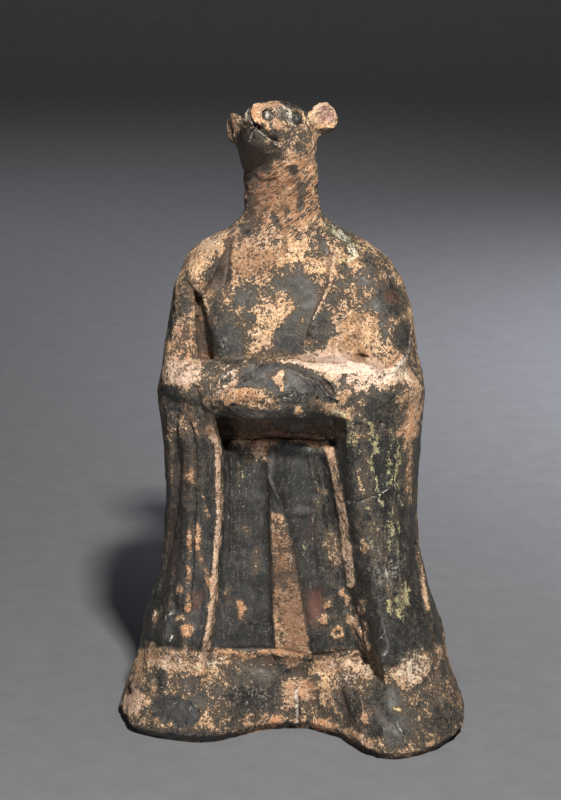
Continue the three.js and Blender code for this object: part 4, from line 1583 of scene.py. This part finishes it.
    def _colours(self, tree: bpy.types.NodeTree, shares: dict[str, Socket]) -> Socket:
        """Lays the colours over one another: the clay, the soil upon it, and lime and moss upon both.

        Args:
            tree: The material's nodes.
            shares: How much of each layer shows, by name.

        Returns:
            The colour of the surface.
        """
        clay = (
            ("greyed", 1.0, self.clay_grey), ("worn", 0.5, self.clay_worn), ("blush", 1.0, self.clay_red),
            # The brown of grime and painted shade on bare clay.
            ("clay_grime_and_shade", 1.0, self.clay_brown), ("dusty", 0.27, self.dust), ("film", 0.68, self.stain),
        )
        soil = (
            ("tan", 1.0, self.soil_tan), ("rusty", 1.0, self.soil_rust), ("rosy", 0.75, self.soil_rose),
            # Paler grains: soil, and partly a painted highlight on the raised crumbs.
            ("blush", 0.8, self.soil_plum), ("thin", 1.0, self.soil_thin), ("pale", 0.72, self.soil_pale),
            # Brown grime with painted shade, then dark pits painted as the shade between crumbs.
            ("soil_grime_and_shade", 0.8, self.soil_brown), ("shaded_pits", 0.85, self.pit_shade),
        )
        upon_both = (("moss", 0.62, self.moss), ("lime", 0.75, self.lime))
        bare = self._coated(tree, colour(self.clay_dark), clay, shares)
        crust = self._coated(tree, colour(self.soil_deep), soil, shares)
        cover = {0: shares["cover"], 6: bare, 7: crust}
        both = node(tree, "ShaderNodeMix", {"data_type": "RGBA"}, cover).outputs[2]
        return self._coated(tree, both, upon_both, shares)

    @staticmethod
    def _coated(
        tree: bpy.types.NodeTree,
        ground: Socket | tuple[float, float, float, float],
        coats: tuple[tuple[str, float, str], ...],
        shares: dict[str, Socket],
    ) -> Socket:
        """Lays coats of colour over a ground.

        Args:
            tree: The material's nodes.
            ground: The colour below.
            coats: For each coat, the name of its share, how strong it gets, and its sRGB hex colour.
            shares: How much of each layer shows, by name.

        Returns:
            The colour with its coats.
        """
        for name, most, code in coats:
            share = {0: shares[name], 1: most}
            strength = node(tree, "ShaderNodeMath", {"operation": "MULTIPLY"}, share).outputs[0]
            laid = {0: strength, 6: ground, 7: colour(code)}
            ground = node(tree, "ShaderNodeMix", {"data_type": "RGBA"}, laid).outputs[2]
        return ground

    def _relief(
        self, tree: bpy.types.NodeTree, fields: dict[Enum, Socket], grains: dict[str, Socket], cover: Socket
    ) -> Socket:
        """Raises the relief that is finer than the mesh: scratched clay under crumbly soil.

        Args:
            tree: The material's nodes.
            fields: The mesh's attributes, by what they hold.
            grains: The noises by name.
            cover: Where the soil lies.

        Returns:
            The normal of the surface.
        """
        scratched = {"Strength": 0.5, "Distance": self.scratch_depth * MM, "Height": grains["strokes"]}
        clay = node(tree, "ShaderNodeBump", {}, scratched).outputs[0]
        rasped = {0: fields[Working.RASP], 1: grains["rasps"]}
        scored = node(tree, "ShaderNodeMath", {"operation": "MULTIPLY"}, rasped).outputs[0]
        lumps = summed(
            tree, 0.0, (grains["clumps"], 0.8), (grains["skin"], 1.4), (scored, 1.6), (grains["grit"], 0.8)
        )
        crust = node(tree, "ShaderNodeMath", {"operation": "MULTIPLY"}, {0: cover, 1: lumps}).outputs[0]
        crumbly = {"Strength": 1.0, "Distance": self.crust_depth * MM, "Height": crust, "Normal": clay}
        return node(tree, "ShaderNodeBump", {}, crumbly).outputs[0]


def colour(code: str) -> tuple[float, float, float, float]:
    """Turns an sRGB hex colour to linear.

    Args:
        code: The colour, such as #c08a5e.

    Returns:
        Linear red, green and blue, and an alpha of 1.
    """
    channels = [int(code[i:i + 2], 16) / 255 for i in (1, 3, 5)]
    linear = [c / 12.92 if c <= 0.04045 else ((c + 0.055) / 1.055) ** 2.4 for c in channels]
    return (*linear, 1.0)


def node(
    tree: bpy.types.NodeTree, kind: str, settings: dict[str, object], inputs: dict[str | int, object]
) -> bpy.types.Node:
    """Adds a node with its settings and links.

    Args:
        tree: The node tree.
        kind: Blender's name of the node's type.
        settings: The node's own properties, by name.
        inputs: A value, or the socket of another node, for each input by name or number.

    Returns:
        The node.
    """
    made = tree.nodes.new(kind)
    for name, value in settings.items():
        setattr(made, name, value)
    for key, value in inputs.items():
        if isinstance(value, Socket):
            tree.links.new(value, made.inputs[key])
        else:
            made.inputs[key].default_value = value
    return made


def summed(tree: bpy.types.NodeTree, start: float, *parts: tuple[Socket, float]) -> Socket:
    """Adds up values.

    Args:
        tree: The node tree.
        start: What the sum starts from.
        parts: Each value, and how many times it is taken.

    Returns:
        The sum.
    """
    total = start
    for value, times in parts:
        step = {0: value, 1: times, 2: total}
        total = node(tree, "ShaderNodeMath", {"operation": "MULTIPLY_ADD"}, step).outputs[0]
    return total


@dataclass
class Figure:
    """The whole figure: its surface from the solid, its regions and its finish.

    Waves give the height of each layer of noise, by the size of its lumps in millimetres. Rows are those of
    the photograph. Heights, depths and sizes are millimetres, and amounts of soil and stain are shares."""

    view: PhotoView
    finish: Earthenware = field(default_factory=Earthenware)
    regions: tuple[Region, ...] = field(
        default_factory=lambda: (Head(), Chest(), Forearms(), Sleeves(), Skirt(), Hem())
    )
    voxel: float = 0.5
    smoothing: int = 30
    weld: float = 0.001
    triangles: int = 190000
    front_thinning: float = 0.35
    face_foot: float = 160.0
    neck_top: float = 156.0
    neck_foot: float = 244.0
    neck_top_fade: float = 14.0
    neck_foot_fade: float = 16.0
    calm_foot: float = 150.0
    calm_fade: float = 40.0
    calm_waves: float = 0.25
    face_turned: float = -0.2
    barely_seen: float = 0.1
    hand_waves: Waves = field(default_factory=lambda: {16.0: 0.4, 7.0: 0.3, 3.2: 0.16, 1.6: 0.08})
    soil_waves: Waves = field(default_factory=lambda: {16.0: 0.22, 7.0: 0.22, 3.4: 0.26, 1.7: 0.2})
    outline_waves: Waves = field(default_factory=lambda: {9.0: 2.5, 4.0: 3.0, 1.8: 2.2})
    crumb_waves: Waves = field(default_factory=lambda: {1.6: 0.7, 0.9: 0.5})
    stroke_waves: Waves = field(default_factory=lambda: {1.5: 0.9, 0.8: 0.5})
    steady_share: float = 0.18
    crust_height: float = 0.4
    crust_from: float = 0.42
    crust_fade: float = 0.16
    crust_base: float = 0.6
    crust_crumbs: float = 0.4
    foot_rim: float = 2.0
    undercut: float = 3.0
    undercut_top: float = 4.2
    stroke_height: float = 0.5
    stroke_slope: float = 35.0
    stroke_stretch: tuple[float, float, float] = (3.2, 3.0, 1.0)
    unseen_soil: float = 0.44
    unseen_drift: float = 0.35
    drift_size: float = 30.0
    rust_spots: float = 0.35
    rust_size: float = 14.0
    rose_spots: float = 0.3
    rose_size: float = 11.0
    hollow_rings: int = 16
    hollow_least: float = -0.3
    hollow_most: float = 0.35
    hollow_from: float = 0.03
    hollow_shade_and_stain: float = 2.4
    hollow_loss: float = 0.4

    def build(self) -> bpy.types.Object:
        """Makes the figure.

        Returns:
            The finished piece, standing for its solid.
        """
        piece = self._dense_copy()
        surface = ClaySurface(piece.data, self.view)
        for region in self.regions:
            for line in region.slopes():
                surface.bridge(line)
            surface.carve(region.carving(), region.depth)
            log.info("carved %s", type(region).__name__)
        self._roughen(surface, self._fields(surface)[Deposit.SOIL])
        self._thin(piece, surface)
        surface = ClaySurface(piece.data, self.view)
        worked = {Working.STREAK: self._streak(surface), Working.RASP: self._neck(surface)}
        for name, values in {**self._fields(surface), **worked}.items():
            surface.store(name.value, values)
        piece.data.materials.clear()
        piece.data.materials.append(self.finish.material())
        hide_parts(NODE)
        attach(piece, "root")
        log.info("figure has %d triangles", len(piece.data.polygons))
        return piece

    def _dense_copy(self) -> bpy.types.Object:
        """Copies the solid's mesh, closes it, and gives it an even, dense and smooth skin.

        Returns:
            The copy as a new object.
        """
        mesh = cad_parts[NODE].data.copy()
        shape = bmesh.new()
        shape.from_mesh(mesh)
        bmesh.ops.remove_doubles(shape, verts=shape.verts, dist=self.weld * MM)
        shape.to_mesh(mesh)
        shape.free()
        piece = bpy.data.objects.new("zodiac_figure_clay", mesh)
        bpy.context.collection.objects.link(piece)
        skin = piece.modifiers.new("skin", "REMESH")
        skin.mode = "VOXEL"
        skin.voxel_size = self.voxel * MM
        soften = piece.modifiers.new("soften", "SMOOTH")
        soften.factor = 0.5
        soften.iterations = self.smoothing
        self._settle(piece)
        self._refine_face(piece.data)
        return piece

    def _refine_face(self, mesh: bpy.types.Mesh) -> None:
        """Halves the mesh of the face, whose relief is finer than the rest.

        Args:
            mesh: The figure's dense mesh.
        """
        surface = ClaySurface(mesh, self.view)
        fine = (surface.pixels[:, 1] < self.face_foot) & (surface.facing > self.face_turned)
        shape = bmesh.new()
        shape.from_mesh(mesh)
        edges = [edge for edge in shape.edges if all(fine[vertex.index] for vertex in edge.verts)]
        bmesh.ops.subdivide_edges(shape, edges=edges, cuts=1, use_grid_fill=True)
        bmesh.ops.triangulate(shape, faces=[face for face in shape.faces if len(face.verts) > 4])
        shape.to_mesh(mesh)
        shape.free()

    def _fields(self, surface: ClaySurface) -> dict[Deposit, np.ndarray]:
        """Works out how much of each deposit lies at each vertex.

        Args:
            surface: The figure's surface.

        Returns:
            A value for each vertex, by deposit; soil covers the clay where its value passes 0.5.
        """
        places = surface.places
        warp = np.column_stack([Grain(seed).layers(places, self.outline_waves) for seed in (11, 12)])
        steady = surface.pixels + self.steady_share * warp
        fields = {deposit: np.zeros(len(warp)) for deposit in Deposit}
        rows = surface.pixels[:, 1]
        cover = sum(region.soil * region.weight(rows) for region in self.regions)
        for region in self.regions:
            ragged = surface.pixels + region.wander * warp
            for deposit, marks in region.deposits().items():
                laid = region.cling if deposit is Deposit.SOIL else 1.0
                for mark in marks:
                    keeps = isinstance(mark, Trail) and deposit is not Deposit.OLIVE
                    fields[deposit] += laid * mark.amount * mark.share(steady if keeps else ragged)
        for deposit in Deposit:
            fields[deposit] *= surface.seen
        hidden = 1.0 - surface.seen
        fields[Deposit.SOIL] += cover * surface.seen + self.unseen_soil * hidden
        streak = self._streak(surface)
        drawn = places / (1.0, 1.0, max(region.drawn for region in self.regions))
        fields[Deposit.SOIL] += Grain(3).layers(places, self.soil_waves) * (1.0 - streak)
        fields[Deposit.SOIL] += Grain(7).layers(drawn, self.soil_waves) * streak
        fields[Deposit.SOIL] += self.unseen_drift * hidden * Grain(4).at(places, self.drift_size)
        fields[Deposit.RUST] += self.rust_spots * np.clip(Grain(5).at(places, self.rust_size), 0.0, 1.0)
        fields[Deposit.ROSE] += self.rose_spots * np.clip(Grain(6).at(places, self.rose_size), 0.0, 1.0)
        # Hollows get darker grime and painted shade, except on streaked cloth, where they shed soil instead.
        hollow = np.clip(surface.hollows(self.hollow_rings), self.hollow_least, self.hollow_most)
        shaded_hollows = np.clip(hollow - self.hollow_from, 0.0, None)
        fields[Deposit.GRIME_AND_SHADE] += self.hollow_shade_and_stain * shaded_hollows * (1.0 - streak)
        fields[Deposit.SOIL] -= self.hollow_loss * hollow * streak
        return fields

    def _streak(self, surface: ClaySurface) -> np.ndarray:
        """How far the soil runs down in streaks at each vertex, from 0 to 1."""
        rows = surface.pixels[:, 1]
        return np.clip(sum(region.weight(rows) * (region.drawn > 1.0) for region in self.regions), 0.0, 1.0)

    def _roughen(self, surface: ClaySurface, soil: np.ndarray) -> None:
        """Gives the clay its hand-worked waves and the soil its thickness, and cuts in under the foot.

        Args:
            surface: The figure's surface.
            soil: How much soil lies at each vertex.
        """
        rows = surface.view.project(surface.places)[0][:, 1]
        calm = np.clip((rows - self.calm_foot) / self.calm_fade, self.calm_waves, 1.0)
        foot = smooth(surface.places[:, 2] / self.foot_rim)
        waves = Grain(1).layers(surface.places, self.hand_waves) * calm
        cover = smooth((soil - self.crust_from) / self.crust_fade)
        crumbs = self.crust_base + self.crust_crumbs * Grain(2).layers(surface.places, self.crumb_waves)
        strokes = self.stroke_height * self._neck(surface) * self._neck_strokes(surface)
        surface.press((waves + strokes + self.crust_height * cover * crumbs) * foot)
        level = surface.normals * (1.0, 1.0, 0.0)
        low = 1.0 - smooth(surface.places[:, 2] / self.undercut_top)
        surface.places -= self.undercut * level * low[:, None]
        surface.places[:, 2] = np.maximum(surface.places[:, 2], 0.0)
        surface.measure()

    def _neck(self, surface: ClaySurface) -> np.ndarray:
        """Finds how far each vertex belongs to the neck.

        Args:
            surface: The figure's surface.

        Returns:
            A share from 0 to 1 for each vertex.
        """
        rows = surface.pixels[:, 1]
        begins = smooth((rows - self.neck_top) / self.neck_top_fade)
        return begins * smooth((self.neck_foot - rows) / self.neck_foot_fade)

    def _neck_strokes(self, surface: ClaySurface) -> np.ndarray:
        """Draws short rasped strokes that rise to the right round the neck.

        Args:
            surface: The figure's surface.

        Returns:
            Their height at each vertex, from -1 to 1.
        """
        slope = math.radians(self.stroke_slope)
        x, y, z = surface.places.T
        along = x * math.cos(slope) + z * math.sin(slope)
        across = z * math.cos(slope) - x * math.sin(slope)
        stretched = np.column_stack((along, y, across)) / self.stroke_stretch
        return Grain(8).layers(stretched, self.stroke_waves)

    def _thin(self, piece: bpy.types.Object, surface: ClaySurface) -> None:
        """Brings the mesh down to its number of triangles, fewer behind and none of the face's.

        Args:
            piece: The figure.
            surface: Its surface, which shows where the face and the back are.
        """
        group = piece.vertex_groups.new(name="thinned")
        face = (surface.pixels[:, 1] < self.face_foot) & (surface.seen > self.barely_seen)
        front = (surface.seen > self.barely_seen) & ~face
        back = ~(front | face)
        for chosen, weight in ((front, self.front_thinning), (back, 1.0)):
            group.add(np.flatnonzero(chosen).tolist(), weight, "REPLACE")
        thin = piece.modifiers.new("thin", "DECIMATE")
        thin.vertex_group = group.name
        thin.ratio = self.triangles / (2 * len(piece.data.polygons))
        thin.use_collapse_triangulate = True
        self._settle(piece)

    @staticmethod
    def _settle(piece: bpy.types.Object) -> None:
        """Applies a piece's modifiers to its mesh.

        Args:
            piece: The piece.
        """
        shapes = bpy.context.evaluated_depsgraph_get()
        made = bpy.data.meshes.new_from_object(piece.evaluated_get(shapes))
        made.name = piece.name
        old = piece.data
        piece.modifiers.clear()
        piece.data = made
        bpy.data.meshes.remove(old)
        made.shade_smooth()


@dataclass(frozen=True)
class Lamp:
    """A square soft light.

    It stands at its place and faces what it is aimed at, both in millimetres; its side is millimetres, its
    power watts, its tint sRGB hex, and its spread the angle of its beam in degrees."""

    name: str
    place: tuple[float, float, float]
    aimed_at: tuple[float, float, float]
    side: float
    power: float
    tint: str
    spread: float = 180.0

    def hang(self) -> None:
        """Adds the light to the scene."""
        data = bpy.data.lights.new(self.name, "AREA")
        data.size = self.side * MM
        data.spread = math.radians(self.spread)
        data.energy = self.power
        data.color = colour(self.tint)[:3]
        light = bpy.data.objects.new(self.name, data)
        aim = np.subtract(self.aimed_at, self.place)
        light.location = np.array(self.place) * MM
        turn = math.atan2(aim[0], -aim[1])
        tilt = math.atan2(-aim[2], math.hypot(aim[0], aim[1]))
        light.rotation_euler = (math.radians(90.0) - tilt, 0.0, turn + math.pi)
        bpy.context.collection.objects.link(light)


@dataclass
class Studio:
    """A plain pale floor that sweeps up behind, and soft lights."""

    lamps: tuple[Lamp, ...] = (
        Lamp("key", (150.0, -826.0, 905.0), (0.0, 0.0, 120.0), 80.0, 26.0, "#fffaf2"),
        Lamp("fill", (-420.0, -980.0, 40.0), (0.0, 0.0, 110.0), 350.0, 4.4, "#f8f8ff"),
        Lamp("backdrop", (470.0, 530.0, 1000.0), (400.0, 490.0, 0.0), 300.0, 2.7, "#fbfaff", 58.0),
        Lamp("far pool", (-130.0, 860.0, 900.0), (-130.0, 861.0, 0.0), 300.0, 0.5, "#fbfaff", 68.0),
    )
    sky_colour: str = "#8f939b"
    sky_strength: float = 0.03
    floor_colour: str = "#74767b"
    floor_shade: str = "#5f6166"
    floor_roughness: float = 0.9
    mottle: float = 12.0
    width: float = 6000.0
    front: float = -2500.0
    bend: float = 1500.0
    radius: float = 900.0
    height: float = 2600.0
    bend_steps: int = 12

    def build(self) -> None:
        """Makes the floor and the lights."""
        self._floor()
        for lamp in self.lamps:
            lamp.hang()
        world = bpy.data.worlds.new("studio")
        world.use_nodes = True
        sky = world.node_tree.nodes["Background"].inputs
        sky["Color"].default_value = colour(self.sky_colour)
        sky["Strength"].default_value = self.sky_strength
        bpy.context.scene.world = world
        bpy.context.scene.view_settings.view_transform = "Standard"

    def _floor(self) -> None:
        """The floor and its sweep as one smooth sheet."""
        shape = bmesh.new()
        start = [shape.verts.new((side * self.width / 2 * MM, self.front * MM, 0.0)) for side in (-1, 1)]
        edge = shape.edges.new(start)
        steps = [(self.bend, 0.0)]
        for i in range(1, self.bend_steps + 1):
            angle = math.radians(90.0 * i / self.bend_steps)
            steps.append((self.bend + self.radius * math.sin(angle), self.radius * (1.0 - math.cos(angle))))
        steps.append((self.bend + self.radius, self.height))
        here = (self.front, 0.0)
        for there in steps:
            made = bmesh.ops.extrude_edge_only(shape, edges=[edge])
            moved = [item for item in made["geom"] if isinstance(item, bmesh.types.BMVert)]
            edge = next(item for item in made["geom"] if isinstance(item, bmesh.types.BMEdge))
            shift = (0.0, (there[0] - here[0]) * MM, (there[1] - here[1]) * MM)
            bmesh.ops.translate(shape, verts=moved, vec=shift)
            here = there
        bmesh.ops.recalc_face_normals(shape, faces=shape.faces)
        mesh = bpy.data.meshes.new("floor")
        shape.to_mesh(mesh)
        shape.free()
        mesh.shade_smooth()
        floor = bpy.data.objects.new("floor", mesh)
        bpy.context.collection.objects.link(floor)
        mesh.materials.append(self._paper())

    def _paper(self) -> bpy.types.Material:
        """Builds matt backdrop paper, whose fibres and soft waves mottle its grey a little.

        Returns:
            The paper as a node material.
        """
        paper = bpy.data.materials.new("matt backdrop paper")
        paper.use_nodes = True
        tree = paper.node_tree
        place = node(tree, "ShaderNodeTexCoord", {}, {}).outputs["Object"]
        waves = {"Vector": place, "Scale": 1.0 / (self.mottle * MM), "Detail": 5.0, "Roughness": 0.7}
        clouds = node(tree, "ShaderNodeTexNoise", {}, waves).outputs["Fac"]
        shades = {0: clouds, 6: colour(self.floor_shade), 7: colour(self.floor_colour)}
        tone = node(tree, "ShaderNodeMix", {"data_type": "RGBA"}, shades).outputs[2]
        shader = tree.nodes["Principled BSDF"]
        shader.inputs["Roughness"].default_value = self.floor_roughness
        tree.links.new(tone, shader.inputs["Base Color"])
        return paper


def main() -> None:
    """Builds the studio and the figure."""
    logging.basicConfig(level=logging.INFO, format="%(name)s: %(message)s")
    view = PhotoView()
    view.place_camera()
    Studio().build()
    log.info("studio is set")
    Figure(view).build()


if __name__ == "__main__":
    main()
